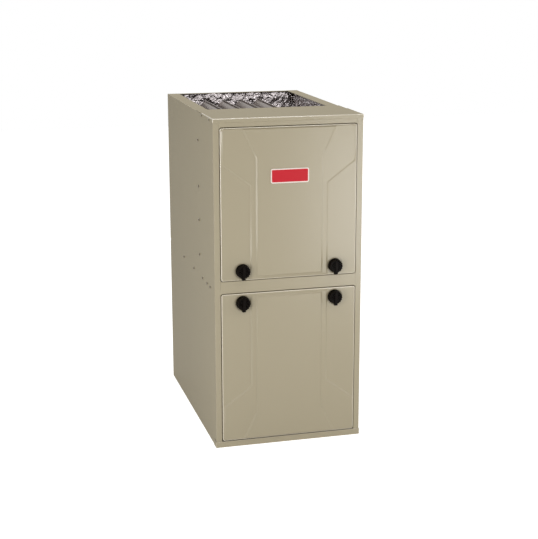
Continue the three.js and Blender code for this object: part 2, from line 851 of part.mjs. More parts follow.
add(
  "inducer_motor",
  cut(
    join(
      rod("y", 0, 0, inducerMotor.radius, inducerMotorFront, inducerFrontY - seam - 4, 32),
      rod("y", 0, 0, inducerMotor.radius + 10, inducerFrontY - seam - 4, inducerFrontY - seam, 32),
      rod("y", 0, 0, 14, inducerMotorFront - 6, inducerMotorFront + 1, 16),
    ),
    rod("y", 0, 0, inducerWheel.shaft + runningGap, inducerFrontY - 34, inducerFrontY + 1, 16),
  ),
  "motorPaint",
  [inducer.x, 0, inducerZ],
);

// Vent elbow: from the inducer's outlet up and out through the right side.
const ventX = inducer.x + (inducerDuctLeft + inducer.end) / 2;
const ventFoot = inducerZ + inducer.top + seam;
const ventBend = 48;
const ventPath = [
  [ventX, inducerMidY, ventFoot + 4],
  [ventX, inducerMidY, ventZ - ventBend],
  [ventX + 0.3 * ventBend, inducerMidY, ventZ - 0.3 * ventBend],
  [ventX + ventBend, inducerMidY, ventZ],
  [halfWidth, inducerMidY, ventZ],
];
const ventFlangeHalf = (inducer.end - inducerDuctLeft) / 2;
add(
  "vent_elbow",
  cut(
    join(
      pipe(ventPath, ventRadius, ventWall, 16, 12),
      box(
        ventX - ventFlangeHalf,
        ventX + ventFlangeHalf,
        inducerFrontY,
        inducerBackY,
        ventFoot,
        ventFoot + 5,
      ),
    ),
    rod("z", ventX, inducerMidY, inducer.depth / 2 - inducer.wall, ventFoot - 1, ventFoot + 6),
  ),
  "whitePlastic",
);

// Burner box: the sealed tray round the burners.
const burnerFrontY = panelY - burnerBox.depth;
const burnerBackY = panelY - seam;
add(
  "burner_box",
  cut(
    box(
      burnerLeft,
      burnerRight,
      burnerFrontY,
      burnerBackY,
      burnerBottom,
      burnerTop,
    ),
    box(
      burnerLeft + boxWall,
      burnerRight - boxWall,
      burnerFrontY + boxWall,
      burnerBackY + 1,
      burnerBottom + boxWall,
      burnerTop - boxWall,
    ),
    ...cellXs.map((x) =>
      rod("y", x, portZ, spudRadius + 1, burnerFrontY - 1, burnerFrontY + boxWall + 1, 12),
    ),
    rod("x", intakeY, intakeZ, intake.radius - intake.wall, burnerRight - 5, burnerRight + 1),
  ),
  "galvanised",
);

// Burners: four venturi tubes on one carrier plate.
const burnerBack = burnerBackY - 2;
const burnerFront = burnerBack - burnerLength;
function burnerTube(x) {
  const profile = [
    [burnerRadius - 1.5, burnerFront],
    [burnerRadius, burnerFront],
    [burnerRadius * 0.62, burnerFront + 0.28 * burnerLength],
    [burnerRadius * 0.62, burnerFront + 0.42 * burnerLength],
    [burnerRadius, burnerFront + 0.7 * burnerLength],
    [burnerRadius, burnerBack],
    [burnerRadius - 1.5, burnerBack],
    [burnerRadius - 1.5, burnerFront + 0.7 * burnerLength],
    [burnerRadius * 0.62 - 1.5, burnerFront + 0.42 * burnerLength],
    [burnerRadius * 0.62 - 1.5, burnerFront + 0.28 * burnerLength],
  ];
  const points = [...profile, profile[0]].map(([r, y]) => new THREE.Vector2(r, y));
  return solid(new THREE.LatheGeometry(points, 12).translate(x, 0, portZ));
}
const carrierY = burnerBack - 0.2 * burnerLength;
const carrierHoles = cellXs.map((x) => circle(x, portZ, burnerRadius - 0.7, 16));
add(
  "burner_rack",
  join(
    prism(
      rectangle(
        burnerLeft + boxWall + seam,
        burnerRight - boxWall - seam,
        portZ - 22,
        portZ + 22,
      ),
      "y",
      carrierY,
      carrierY + 1.5,
      carrierHoles,
    ),
    ...cellXs.map(burnerTube),
  ),
  "aluminised",
);

// Gas manifold: the pipe across the burners with one jet for each, and its leg down to the valve.
const manifoldLeft = Math.min(...cellXs) - manifoldEnd;
add(
  "gas_manifold",
  join(
    rod("x", gasY, portZ, manifoldRadius, manifoldLeft, legX + manifoldRadius, 16),
    rod("z", legX, gasY, manifoldRadius, valveTop + seam, portZ + manifoldRadius, 16),
    ...cellXs.map((x) => rod("y", x, portZ, spudRadius, gasY, burnerFrontY + 4, 10)),
    ...[manifoldLeft + 6, Math.max(...cellXs) + manifoldEnd - 14].map((x) =>
      box(x, x + 12, gasY, burnerFrontY - seam, portZ - 3, portZ + 3),
    ),
  ),
  "blackSteel",
);

// Gas valve with its regulator tower, and the shut-off knob on its front.
const valveFrontY = gasY - gasValve.depth / 2;
const valveRight = legX + gasValve.width / 2;
const knobZ = valveTop - 18;
add(
  "gas_valve",
  cut(
    join(
      box(
        legX - gasValve.width / 2,
        valveRight,
        valveFrontY,
        gasY + gasValve.depth / 2,
        valveTop - gasValve.height,
        valveTop,
      ),
      rod("z", legX - 12, valveFrontY + 16, 10, valveTop - 1, valveTop + 16, 16),
      rod("y", legX + 14, valveTop - 42, 8, valveFrontY - 8, valveFrontY + 1, 16),
    ),
    rod("y", legX - 12, knobZ, 3 + runningGap, valveFrontY - 1, valveFrontY + 8, 12),
  ),
  "castAluminium",
);
add(
  "gas_valve_knob",
  join(
    rod("y", 0, 0, gasKnob.radius, valveFrontY - seam - gasKnob.height, valveFrontY - seam, 20),
    box(
      -2,
      2,
      valveFrontY - seam - gasKnob.height - 4,
      valveFrontY - gasKnob.height,
      -gasKnob.radius + 1,
      gasKnob.radius - 1,
    ),
    rod("y", 0, 0, 3, valveFrontY - 1, valveFrontY + 7, 12),
  ),
  "redButton",
  [legX - 12, 0, knobZ],
);
add(
  "gas_pipe",
  prism(
    circle(gasY, gasPipeZ, manifoldRadius, 20),
    "x",
    valveRight + seam,
    halfWidth,
    [circle(gasY, gasPipeZ, manifoldRadius - 2.5, 20)],
  ),
  "blackSteel",
);
add(
  "air_intake_pipe",
  prism(
    circle(intakeY, intakeZ, intake.radius, 24),
    "x",
    burnerRight + seam,
    halfWidth,
    [circle(intakeY, intakeZ, intake.radius - intake.wall, 24)],
  ),
  "whitePlastic",
);

// Igniter and flame sensor, plugged into the front of the burner box.
const sensorZ = burnerBottom + 18;
const sensorFoot = burnerFrontY - seam;
add(
  "igniter",
  join(
    box(cellXs[0] - 12, cellXs[0] + 12, sensorFoot - 10, sensorFoot, sensorZ - 7, sensorZ + 7),
    rod("y", cellXs[0] - 5, sensorZ, 2, sensorFoot - 18, sensorFoot - 9, 8),
    rod("y", cellXs[0] + 5, sensorZ, 2, sensorFoot - 18, sensorFoot - 9, 8),
  ),
  "ceramic",
);
add(
  "flame_sensor",
  join(
    box(cellXs[3] - 9, cellXs[3] + 9, sensorFoot - 2, sensorFoot, sensorZ - 7, sensorZ + 7),
    rod("y", cellXs[3], sensorZ, 4, sensorFoot - 14, sensorFoot - 1, 12),
    rod("y", cellXs[3], sensorZ, 1.5, sensorFoot - 20, sensorFoot - 13, 8),
  ),
  "ceramic",
);

// Flame roll-out switch and its reset button.
const rolloutX = (cellXs[1] + cellXs[2]) / 2;
const rolloutZ = burnerBottom + 16;
const rolloutFrontY = sensorFoot - 8;
add(
  "rollout_switch",
  cut(
    join(
      rod("y", rolloutX, rolloutZ, rolloutRadius, rolloutFrontY, sensorFoot, 24),
      box(rolloutX - 20, rolloutX + 20, sensorFoot - 1.5, sensorFoot, rolloutZ - 6, rolloutZ + 6),
    ),
    rod(
      "y",
      rolloutX,
      rolloutZ,
      resetButton.radius + runningGap,
      rolloutFrontY - 1,
      rolloutFrontY + 6,
      16,
    ),
  ),
  "blackPlastic",
);
add(
  "rollout_reset_button",
  rod(
    "y",
    rolloutX,
    rolloutZ,
    resetButton.radius,
    rolloutFrontY - resetButton.reach,
    rolloutFrontY + 6 - resetButton.travel - runningGap,
    16,
  ),
  "redButton",
);

// Limit switch on the cell panel, beside the burner box.
add(
  "limit_switch",
  join(
    box(harnessX - 14, harnessX + 14, panelY - seam - 2, panelY - seam, limitZ - 22, limitZ + 22),
    rod("y", harnessX, limitZ, 11, panelY - 18, panelY - seam - 1, 20),
  ),
  "greyPlastic",
);

// Pressure switch and the hose that joins it to the collector box.
const pressureFace = panelY - 34;
const nippleZ = pressureZ - pressureSwitch.radius + 4;
const nippleLength = 12;
add(
  "pressure_switch",
  join(
    box(pressureX - 20, pressureX + 20, panelY - seam - 2, panelY - seam, pressureZ - 34, pressureZ + 34),
    box(pressureX - 12, pressureX + 12, panelY - 20, panelY - seam - 1, pressureZ - 12, pressureZ + 12),
    rod("y", pressureX, pressureZ, pressureSwitch.radius, pressureFace, panelY - 19, 32),
    rod("z", pressureX, pressureFace + 8, 3, nippleZ - nippleLength, nippleZ, 8),
  ),
  "greyPlastic",
);
add(
  "pressure_hose",
  pipe(
    [
      [pressureX, pressureFace + 8, nippleZ - nippleLength - seam],
      [pressureX, pressureFace + 8, nippleZ - nippleLength - 8],
      [pressureX + 10, drainY - 4, collectorTop + 26],
      [drainX - 12, drainY, collectorTop + 22],
      [drainX, drainY, collectorTop + 16],
      [drainX, drainY, collectorTop + collector.barb + seam],
    ],
    3,
    0,
    6,
    24,
  ),
  "rubber",
);

// Condensate trap on the left side wall, and the drain hose down to it from the collector box.
const trapX = -innerHalf + trap.width / 2;
const trapY = frontY + trap.back;
add(
  "condensate_trap",
  join(
    box(
      -innerHalf,
      -innerHalf + trap.width,
      trapY - trap.depth + 12,
      trapY + 12,
      trapBottom,
      trapTop,
    ),
    rod("z", trapX, trapY, hoseRadius - 2, trapTop - 1, trapTop + trap.spigot, 12),
    rod("y", trapX, trapBottom + 20, hoseRadius - 2, trapY + 11, trapY + 30, 12),
  ),
  "blackPlastic",
);
add(
  "drain_hose",
  pipe(
    [
      [drainX, drainY, collectorBottom - collector.spigot - seam],
      [drainX, drainY, deckTop + 8],
      [drainX, drainY, deckBottom - 22],
      [drainX - 14, drainY - 26, deckBottom - 78],
      [trapX + 14, trapY + 34, trapTop + 74],
      [trapX, trapY, trapTop + 36],
      [trapX, trapY, trapTop + trap.spigot + seam],
    ],
    hoseRadius,
    0,
    8,
    26,
  ),
  "rubber",
);

// Blower housing: the scroll that hangs by its outlet flange on the deck's slide rails.
const scrollTop = housingTop - wheel.z;
const scrollShell = scrollOutline(scroll.start, scroll.end, scroll.from, scrollTop, ductLeft, 40);
const scrollHollow = scrollOutline(
  scroll.start - sheet,
  scroll.end - sheet,
  scroll.from,
  scrollTop + 1,
  ductLeft + sheet,
  40,
);
const flangeHalf = scrollHalf + housingFlange + 6;
add(
  "blower_housing",
  cut(
    join(
      prism(moved(scrollShell, wheel.y, wheel.z), "x", -scrollHalf, scrollHalf),
      box(
        -flangeHalf,
        flangeHalf,
        ductY.front - housingFlange,
        ductY.back + housingFlange,
        housingTop - sheet,
        housingTop,
      ),
    ),
    prism(moved(scrollHollow, wheel.y, wheel.z), "x", -scrollHalf + sheet, scrollHalf - sheet),
    rod("x", wheel.y, wheel.z, inletRadius, -scrollHalf - 1, scrollHalf + 1, 40),
  ),
  "galvanised",
);

// Blower wheel: forward-curved blades between a centre disc and two end rings, on its shaft.
function fanBlade(index) {
  const outer = wheel.radius;
  const inner = outer - wheel.bladeDepth;
  const lean = 0.12;
  const half = 0.012;
  const at = (r, a) => [r * Math.cos(a), r * Math.sin(a)];
  const turn = (index / wheel.blades) * 2 * Math.PI;
  const outline = [
    at(inner, turn - half),
    at(outer - 1, turn + lean - half),
    at(outer - 1, turn + lean + half),
    at(inner, turn + half),
  ];
  return prism(outline, "x", -wheel.width / 2 + 1, wheel.width / 2 - 1);
}
const ringInner = wheel.radius - wheel.bladeDepth - 1;
const endRing = (from) =>
  prism(circle(0, 0, wheel.radius, 32), "x", from, from + 4, [circle(0, 0, ringInner, 32)]);
const motorFace = blowerMotor.from;
add(
  "blower_wheel",
  join(
    rod("x", 0, 0, wheel.radius - wheel.bladeDepth + 5, -1, 1, 32),
    rod("x", 0, 0, 18, -14, 14, 20),
    rod("x", 0, 0, wheel.shaft, -20, motorFace + 14, 16),
    endRing(-wheel.width / 2),
    endRing(wheel.width / 2 - 4),
    ...Array.from({ length: wheel.blades }, (_, i) => fanBlade(i)),
  ),
  "galvanised",
  [0, wheel.y, wheel.z],
);
add(
  "blower_motor",
  cut(
    join(
      rod("x", 0, 0, blowerMotor.radius, motorFace, motorFace + blowerMotor.length, 36),
      rod("x", 0, 0, 34, motorFace - 5, motorFace + 1, 24),
      rod("x", 0, 0, 40, motorFace + blowerMotor.length - 1, motorFace + blowerMotor.length + 8, 24),
    ),
    rod("x", 0, 0, wheel.shaft + runningGap, motorFace - 6, motorFace + 18, 16),
  ),
  "motorPaint",
  [0, wheel.y, wheel.z],
);

// Motor bracket: a band round the motor with three arms on the housing's inlet.
const bandInner = blowerMotor.radius + seam;
const armFaceX = scrollHalf + seam;
const armTip = inletRadius + bracketLap;
const bracketArms = [90, 210, 330].map((degrees) =>
  box(armFaceX, armFaceX + motorBand, -9, 9, bandInner + 1, armTip).rotate([degrees - 90, 0, 0]),
);
add(
  "motor_bracket",
  join(
    prism(
      circle(0, 0, bandInner + motorBand, 36),
      "x",
      scrollHalf - 10,
      armFaceX + motorBand,
      [circle(0, 0, bandInner, 36)],
    ),
    ...bracketArms,
  ),
  "blackSteel",
  [0, wheel.y, wheel.z],
);

// Control box on the left side wall, with the circuit board and the transformer in it.
const controlFrontY = frontY + controlBox.front;
const controlRight = -innerHalf + controlBox.width;
const controlBackY = controlFrontY + controlBox.depth;
add(
  "control_box",
  cut(
    box(-innerHalf, controlRight, controlFrontY, controlBackY, controlBottom, controlTop),
    box(
      -innerHalf + sheet,
      controlRight - sheet,
      controlFrontY - 1,
      controlBackY - sheet,
      controlBottom + sheet,
      controlTop - sheet,
    ),
  ),
  "galvanised",
);
const boardBackY = controlBackY - sheet - seam - 4;
const boardLeft = -innerHalf + 7;
const boardRight = controlRight - 58;
const relays = [0, 1, 2].map((i) => {
  const x = boardLeft + 14 + i * 28;
  return box(x, x + 20, boardBackY - 18, boardBackY - 1, controlTop - 48, controlTop - 24);
});
add(
  "control_board",
  join(
    box(boardLeft, boardRight, boardBackY - 1.6, boardBackY, controlBottom + 10, controlTop - 10),
    ...[boardLeft + 6, boardRight - 12].map((x) =>
      box(
        x,
        x + 6,
        boardBackY - 1,
        controlBackY - sheet - seam,
        controlBottom + 50,
        controlBottom + 56,
      ),
    ),
    ...relays,
    box(
      boardLeft + 10,
      boardRight - 10,
      boardBackY - 12,
      boardBackY - 1,
      controlBottom + 18,
      controlBottom + 32,
    ),
  ),
  "circuitBoard",
);
add(
  "transformer",
  join(
    box(
      controlRight - 50,
      controlRight - 10,
      controlBackY - sheet - seam - 34,
      controlBackY - sheet - seam,
      controlBottom + 24,
      controlBottom + 74,
    ),
    rod(
      "z",
      controlRight - 30,
      controlBackY - sheet - seam - 17,
      14,
      controlBottom + 12,
      controlBottom + 86,
      16,
    ),
  ),
  "copper",
);

// Junction box on the right side wall, over the wiring hole.
const junctionY = frontY + junctionBox.front;
const junctionLeft = innerHalf - junctionBox.width;
add(
  "junction_box",
  cut(
    box(
      junctionLeft,
      innerHalf,
      junctionY,
      junctionY + junctionBox.depth,
      junctionTop - junctionBox.height,
      junctionTop,
    ),
    rod(
      "x",
      junctionY + junctionBox.depth / 2,
      wireZ,
      wireHole,
      innerHalf - 20,
      innerHalf + 1,
    ),
  ),
  "galvanised",
);

// Wiring harness: from the control box up through the deck to the limit switch.
const harnessZ = controlTop - 20;
add(
  "wiring_harness",
  pipe(
    [
      [harnessX, controlBackY + seam, harnessZ],
      [harnessX, controlBackY + 14, harnessZ],
      [harnessX, harnessY - 18, harnessZ + 10],
      [harnessX, harnessY, harnessZ + 30],
      [harnessX, harnessY, deckTop + 60],
      [harnessX - 12, harnessY - 12, pressureZ - 30],
      [harnessX - 12, harnessY - 10, limitZ - 70],
      [harnessX, panelY - 14, limitZ - 34],
      [harnessX, panelY - 14, limitZ - 11 - seam],
    ],
    5,
    0,
    6,
    40,
  ),
  "rubber",
);

// Door switch on the deck's front flange, with its sprung plunger.
const switchFrontY = deckFrontY + sheet + seam + 1.5;
const noseY = switchFrontY - 9;
const plungerTipY = linerBackY + seam;
add(
  "door_switch",
  cut(
    join(
      box(
        switchX - 10,
        switchX + 10,
        switchFrontY - 1.5,
        switchFrontY,
        switchZ,
        deckBottom - seam,
      ),
      box(
        switchX - doorSwitch.width / 2,
        switchX + doorSwitch.width / 2,
        switchFrontY - 1,
        switchFrontY + doorSwitch.depth,
        switchZ - doorSwitch.height / 2,
        switchZ + doorSwitch.height / 2,
      ),
      rod("y", switchX, switchZ, 6.5, noseY, switchFrontY, 16),
    ),
    rod(
      "y",
      switchX,
      switchZ,
      doorSwitch.plunger + runningGap,
      noseY - 1,
      switchFrontY + 16,
      16,
    ),
  ),
  "greyPlastic",
);
add(
  "door_switch_plunger",
  rod(
    "y",
    switchX,
    switchZ,
    doorSwitch.plunger,
    plungerTipY,
    switchFrontY + 16 - doorSwitch.travel - 1,
    16,
  ),
  "whitePlastic",
);

// Door: a pressed shell, open at the back. "far" is the edge away from the latches.
function door(near, far) {
  const away = Math.sign(far - near);
  const low = Math.min(near, far);
  const high = Math.max(near, far);
  const half = openingHalf - doorGap;
  const level = (count) => fieldY - count * reliefStep;
  const counterclockwise = (points) => (away > 0 ? points : [...points].reverse());
  const channel = counterclockwise([
    [-channelHalf, near],
    [channelHalf, near],
    [channelHalf, far - away * channelKnee],
    [half, far - away * channelEdge],
    [half, far],
    [-half, far],
    [-half, far - away * channelEdge],
    [-channelHalf, far - away * channelKnee],
  ]);
  const centre = counterclockwise([
    [-centreHalf, near],
    [centreHalf, near],
    [centreHalf, far - away * centreKnee],
    [centreFlare, far],
    [-centreFlare, far],
    [-centreHalf, far - away * centreKnee],
  ]);
  const shellOf = (shrink, open) => {
    const outline = roundedRectangle(
      -half + shrink,
      half - shrink,
      low + shrink,
      high - shrink,
      doorRadius - shrink,
    );
    const bounds = prism(outline, "y", level(2) + shrink, doorBackY + open);
    const fields = join(
      prism(outline, "y", fieldY + shrink, doorBackY + open),
      raisedField(inset(channel, shrink), fieldY + shrink, level(1) + shrink, reliefDraft),
      raisedField(inset(centre, shrink), level(1) + shrink, level(2) + shrink, reliefDraft),
      // the wall under the centre field's edges
      raisedField(inset(centre, shrink), fieldY + shrink, level(1) + shrink, 0.01),
    );
    return fields.intersect(bounds);
  };
  const knobZs = near + away * (knobInset - doorGap);
  const knobPlaces = [-knobSpread, knobSpread];
  const dishFloor = fieldY + knobDish.depth;
  return cut(
    join(
      cut(shellOf(0, 0), shellOf(sheet, 1)),
      ...knobPlaces.map((x) =>
        rod("y", x, knobZs, knobDish.radius + 2, fieldY + sheet / 2, dishFloor + sheet, 32),
      ),
      ...[-doorHook.x, doorHook.x].map((x) =>
        box(
          x - doorHook.width / 2,
          x + doorHook.width / 2,
          hookY,
          hookY + doorHook.thickness,
          far - (away * sheet) / 2,
          far + away * (doorGap - seam),
        ),
      ),
    ),
    ...knobPlaces.map((x) => rod("y", x, knobZs, knobDish.radius, fieldY - 8, dishFloor, 32)),
    ...knobPlaces.map((x) => rod("y", x, knobZs, latchShaft + runningGap, fieldY, dishFloor + 5, 20)),
  );
}
const upperDoor = { near: upperOpening.bottom + doorGap, far: upperOpening.top - doorGap };
const lowerDoor = { near: lowerOpening.top - doorGap, far: lowerOpening.bottom + doorGap };
add("upper_door", door(upperDoor.near, upperDoor.far), "paint");
add("lower_door", door(lowerDoor.near, lowerDoor.far), "paint");

// Sound-absorbing panel glued inside the lower door.
const linerHalf = openingHalf - doorGap - linerMargin;
const knobZ4 = { upper: upperOpening.bottom + knobInset, lower: lowerOpening.top - knobInset };
add(
  "lower_door_liner",
  cut(
    box(
      -linerHalf,
      linerHalf,
      linerBackY - linerThickness,
      linerBackY,
      lowerDoor.far + linerMargin,
      lowerDoor.near - linerMargin / 2,
    ),
    ...[-1, 1].map((side) =>
      rod(
        "y",
        side * knobSpread,
        knobZ4.lower,
        knobDish.radius + 4,
        linerBackY - linerThickness - 1,
        linerBackY + 1,
        32,
      ),
    ),
  ),
  "foil",
);

// Latch knob: fluted grip with a pointer, its quarter-turn shaft and the wing behind the door.
function latchKnob(wingDirection) {
  const foot = fieldY + knobDish.depth - seam;
  const face = foot - knobHeight;
  const flute = 2.2;
  const grip = cut(
    rod("y", 0, 0, knobRadius - 1.5, face, foot - 5, 32),
    ...Array.from({ length: knobFlutes }, (_, i) => {
      const a = ((i + 0.5) / knobFlutes) * 2 * Math.PI;
      const r = knobRadius + 0.4;
      return rod("y", r * Math.cos(a), r * Math.sin(a), flute, face - 1, foot - 5.5, 6);
    }),
  );
  const wingTip = knobInset - latchClearance;
  return join(
    rod("y", 0, 0, knobRadius, foot - 6, foot, 32),
    grip,
    box(-pointer.width / 2, pointer.width / 2, face + 1, foot - 7, -pointer.reach, -knobRadius + 6),
    box(-4.5, 4.5, face - 2.5, face + 1, -knobRadius + 3, knobRadius - 5),
    rod("y", 0, 0, latchShaft, foot - 1, latchWingY + latchWing.thickness, 20),
    box(
      -latchWing.width / 2,
      latchWing.width / 2,
      latchWingY,
      latchWingY + latchWing.thickness,
      wingDirection * -latchShaft,
      wingDirection * wingTip,
    ),
  );
}
for (const [level, z, wing] of [
  ["upper", knobZ4.upper, -1],
  ["lower", knobZ4.lower, 1],
]) {
  add(`latch_knob_${level}_left`, latchKnob(wing), "blackPlastic", [-knobSpread, 0, z]);
  add(`latch_knob_${level}_right`, latchKnob(wing), "blackPlastic", [knobSpread, 0, z]);
}

// Blank badge plate with a raised rim, on the upper door's centre field.
const badgeBackY = fieldY - 2 * reliefStep - seam;
const badgeFrontY = badgeBackY - badge.thickness;
const badgeOutline = (margin) =>
  roundedRectangle(
    -badge.width / 2 + margin,
    badge.width / 2 - margin,
    badge.centreZ - badge.height / 2 + margin,
    badge.centreZ + badge.height / 2 - margin,
    badge.radius - margin,
  );
add(
  "badge_plate",
  cut(
    prism(badgeOutline(0), "y", badgeFrontY, badgeBackY),
    prism(badgeOutline(badge.rim), "y", badgeFrontY - 1, badgeFrontY + badge.sink),
  ),
  "redPlate",
);

export default furnace;
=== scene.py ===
import json
import math

import bmesh
import bpy
from mathutils import Matrix, Vector

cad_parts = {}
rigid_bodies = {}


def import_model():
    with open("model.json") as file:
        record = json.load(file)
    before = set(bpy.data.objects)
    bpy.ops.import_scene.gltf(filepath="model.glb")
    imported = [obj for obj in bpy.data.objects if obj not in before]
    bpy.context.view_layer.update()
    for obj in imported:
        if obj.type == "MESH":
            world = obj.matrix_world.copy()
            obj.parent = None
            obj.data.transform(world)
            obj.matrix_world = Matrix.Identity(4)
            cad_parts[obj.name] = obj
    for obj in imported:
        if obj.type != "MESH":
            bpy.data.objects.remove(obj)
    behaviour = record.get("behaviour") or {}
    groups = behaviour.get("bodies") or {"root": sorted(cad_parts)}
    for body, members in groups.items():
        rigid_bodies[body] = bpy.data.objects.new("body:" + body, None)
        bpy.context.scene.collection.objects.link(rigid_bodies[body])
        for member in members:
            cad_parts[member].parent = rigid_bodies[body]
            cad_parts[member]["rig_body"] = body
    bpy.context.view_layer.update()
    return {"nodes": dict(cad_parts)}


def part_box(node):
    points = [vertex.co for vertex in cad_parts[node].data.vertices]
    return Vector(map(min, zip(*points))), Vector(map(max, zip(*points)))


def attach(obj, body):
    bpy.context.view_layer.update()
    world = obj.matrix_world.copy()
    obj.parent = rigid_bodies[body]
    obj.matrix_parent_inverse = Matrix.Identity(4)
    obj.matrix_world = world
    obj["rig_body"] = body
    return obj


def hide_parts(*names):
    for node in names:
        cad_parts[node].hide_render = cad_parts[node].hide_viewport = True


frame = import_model()
nodes = frame["nodes"]

# ---------------------------------------------------------------- camera
# The camera stands left of the doors and a little above the cabinet's top, as a person
# who looks the furnace over would, with a long lens that keeps its sides nearly parallel.
camera = bpy.data.objects.new("camera", bpy.data.cameras.new("camera"))
bpy.context.scene.collection.objects.link(camera)
camera.location = (-1.00717, -3.95870, 1.48742)
looking = Vector((0.25454, 0.93703, -0.23914))
camera.rotation_euler = looking.to_track_quat("-Z", "Y").to_euler()
camera.data.sensor_width = 36
camera.data.lens = 84.98
camera.data.shift_x = -0.0191
camera.data.shift_y = -0.0091
camera.data.clip_end = 60
bpy.context.scene.camera = camera

# ---------------------------------------------------------------- studio
# A pale floor and a white surround. Four soft lamps light the front and the left side, a fifth
# the right side and a sixth the top. The floor keeps a soft shadow at the cabinet's foot.
bpy.context.scene.view_settings.view_transform = "Standard"


def linear(hex_code):
    """The linear colour of an sRGB hex code such as "B3A78F"."""
    channels = [int(hex_code[i : i + 2], 16) / 255 for i in (0, 2, 4)]
    light = [c / 12.92 if c <= 0.04045 else ((c + 0.055) / 1.055) ** 2.4 for c in channels]
    return (*light, 1.0)


def add_node(tree, kind, values=None, links=None, **settings):
    """Adds a node to a tree, with its settings, its input values and its input links."""
    made = tree.nodes.new(kind)
    for name, value in settings.items():
        setattr(made, name, value)
    for name, value in (values or {}).items():
        made.inputs[name].default_value = value
    for name, output in (links or {}).items():
        tree.links.new(output, made.inputs[name])
    return made


def seen_directly(tree):
    """Is 1 for the rays that show a thing to the eye: direct, mirrored, or through glass."""
    path = add_node(tree, "ShaderNodeLightPath")
    seen = path.outputs["Is Camera Ray"]
    for ray in ("Is Glossy Ray", "Is Transmission Ray"):
        links = {0: seen, 1: path.outputs[ray]}
        seen = add_node(tree, "ShaderNodeMath", links=links, operation="MAXIMUM").outputs[0]
    return seen


world = bpy.data.worlds.new("white_surround")
bpy.context.scene.world = world
world.use_nodes = True
tree = world.node_tree
tree.nodes.clear()
seen = seen_directly(tree)
soft_light = add_node(tree, "ShaderNodeBackground", {"Color": linear("FFFDF8"), "Strength": 0.46})
white = add_node(tree, "ShaderNodeBackground", {"Color": (1, 1, 1, 1), "Strength": 1.0})
blend = add_node(
    tree,
    "ShaderNodeMixShader",
    links={0: seen, 1: soft_light.outputs[0], 2: white.outputs[0]},
)
add_node(tree, "ShaderNodeOutputWorld", links={"Surface": blend.outputs[0]})

bpy.ops.object.select_all(action="DESELECT")
bpy.ops.mesh.primitive_plane_add(size=14, location=(0, 0, -0.0005))
floor = bpy.context.object
floor.name = "studio_floor"
floor_paint = bpy.data.materials.new("matt_white_studio_floor")
floor_paint.use_nodes = True
tree = floor_paint.node_tree
tree.nodes.clear()
matt = add_node(tree, "ShaderNodeBsdfDiffuse", {"Color": linear("D8D7D4")})
glow = add_node(tree, "ShaderNodeEmission", {"Color": (1, 1, 1, 1), "Strength": 0.85})
lit = add_node(tree, "ShaderNodeAddShader", links={0: matt.outputs[0], 1: glow.outputs[0]})
blend = add_node(
    tree,
    "ShaderNodeMixShader",
    links={0: seen_directly(tree), 1: matt.outputs[0], 2: lit.outputs[0]},
)
add_node(tree, "ShaderNodeOutputMaterial", links={"Surface": blend.outputs[0]})
floor.data.materials.append(floor_paint)

for name, place, aim, wide, tall, power in (
    ("left_key_softbox", (-1.9, -1.92, 0.62), (0, -0.36, 0.6), 0.58, 1.24, 18.5),
    ("left_high_softbox", (-0.9, -2.2, 1.75), (0, -0.36, 0.4), 0.36, 0.36, 4.2),
    ("overhead_front_softbox", (0.6, -1.95, 2.5), (0, -0.36, 0.75), 0.5, 0.4, 5.2),
    ("right_fill_softbox", (0.9, -2.2, 0.4), (0.1, -0.36, 0.4), 0.45, 0.8, 6.4),
    ("right_side_softbox", (2.1, -1.05, 0.75), (0.15, -0.36, 0.4), 0.4, 1.4, 10),
    ("top_softbox", (0.1, 0.7, 3.4), (0, 0, 1.0), 1.4, 1.4, 26),
):
    lamp = bpy.data.objects.new(name, bpy.data.lights.new(name, "AREA"))
    bpy.context.scene.collection.objects.link(lamp)
    lamp.data.shape = "RECTANGLE"
    lamp.data.size = wide
    lamp.data.size_y = tall
    lamp.data.energy = power
    lamp.visible_camera = False
    lamp.location = place
    lamp.rotation_euler = (Vector(aim) - Vector(place)).to_track_quat("-Z", "Y").to_euler()

# ---------------------------------------------------------------- cabinet sheets
# Sides, back, base, rails and top plates: 1.2 mm galvanised sheet steel, cut, folded on a brake
# to about 2 mm outside radius, screwed and spot-welded, and powder-coated beige.
sheet = 0.0012
widest_cut_edge = 0.0015
# The base rail's corners are so tight that a full fold would cross itself, so it has a thin one.
fold_radius, thin_fold = 0.002, 0.001
cut_edge = 0.0003
keeper_x, keeper_half, keeper_low, keeper_high = 0.1445, 0.013, 0.498, 0.518
groove_depth = 0.0003


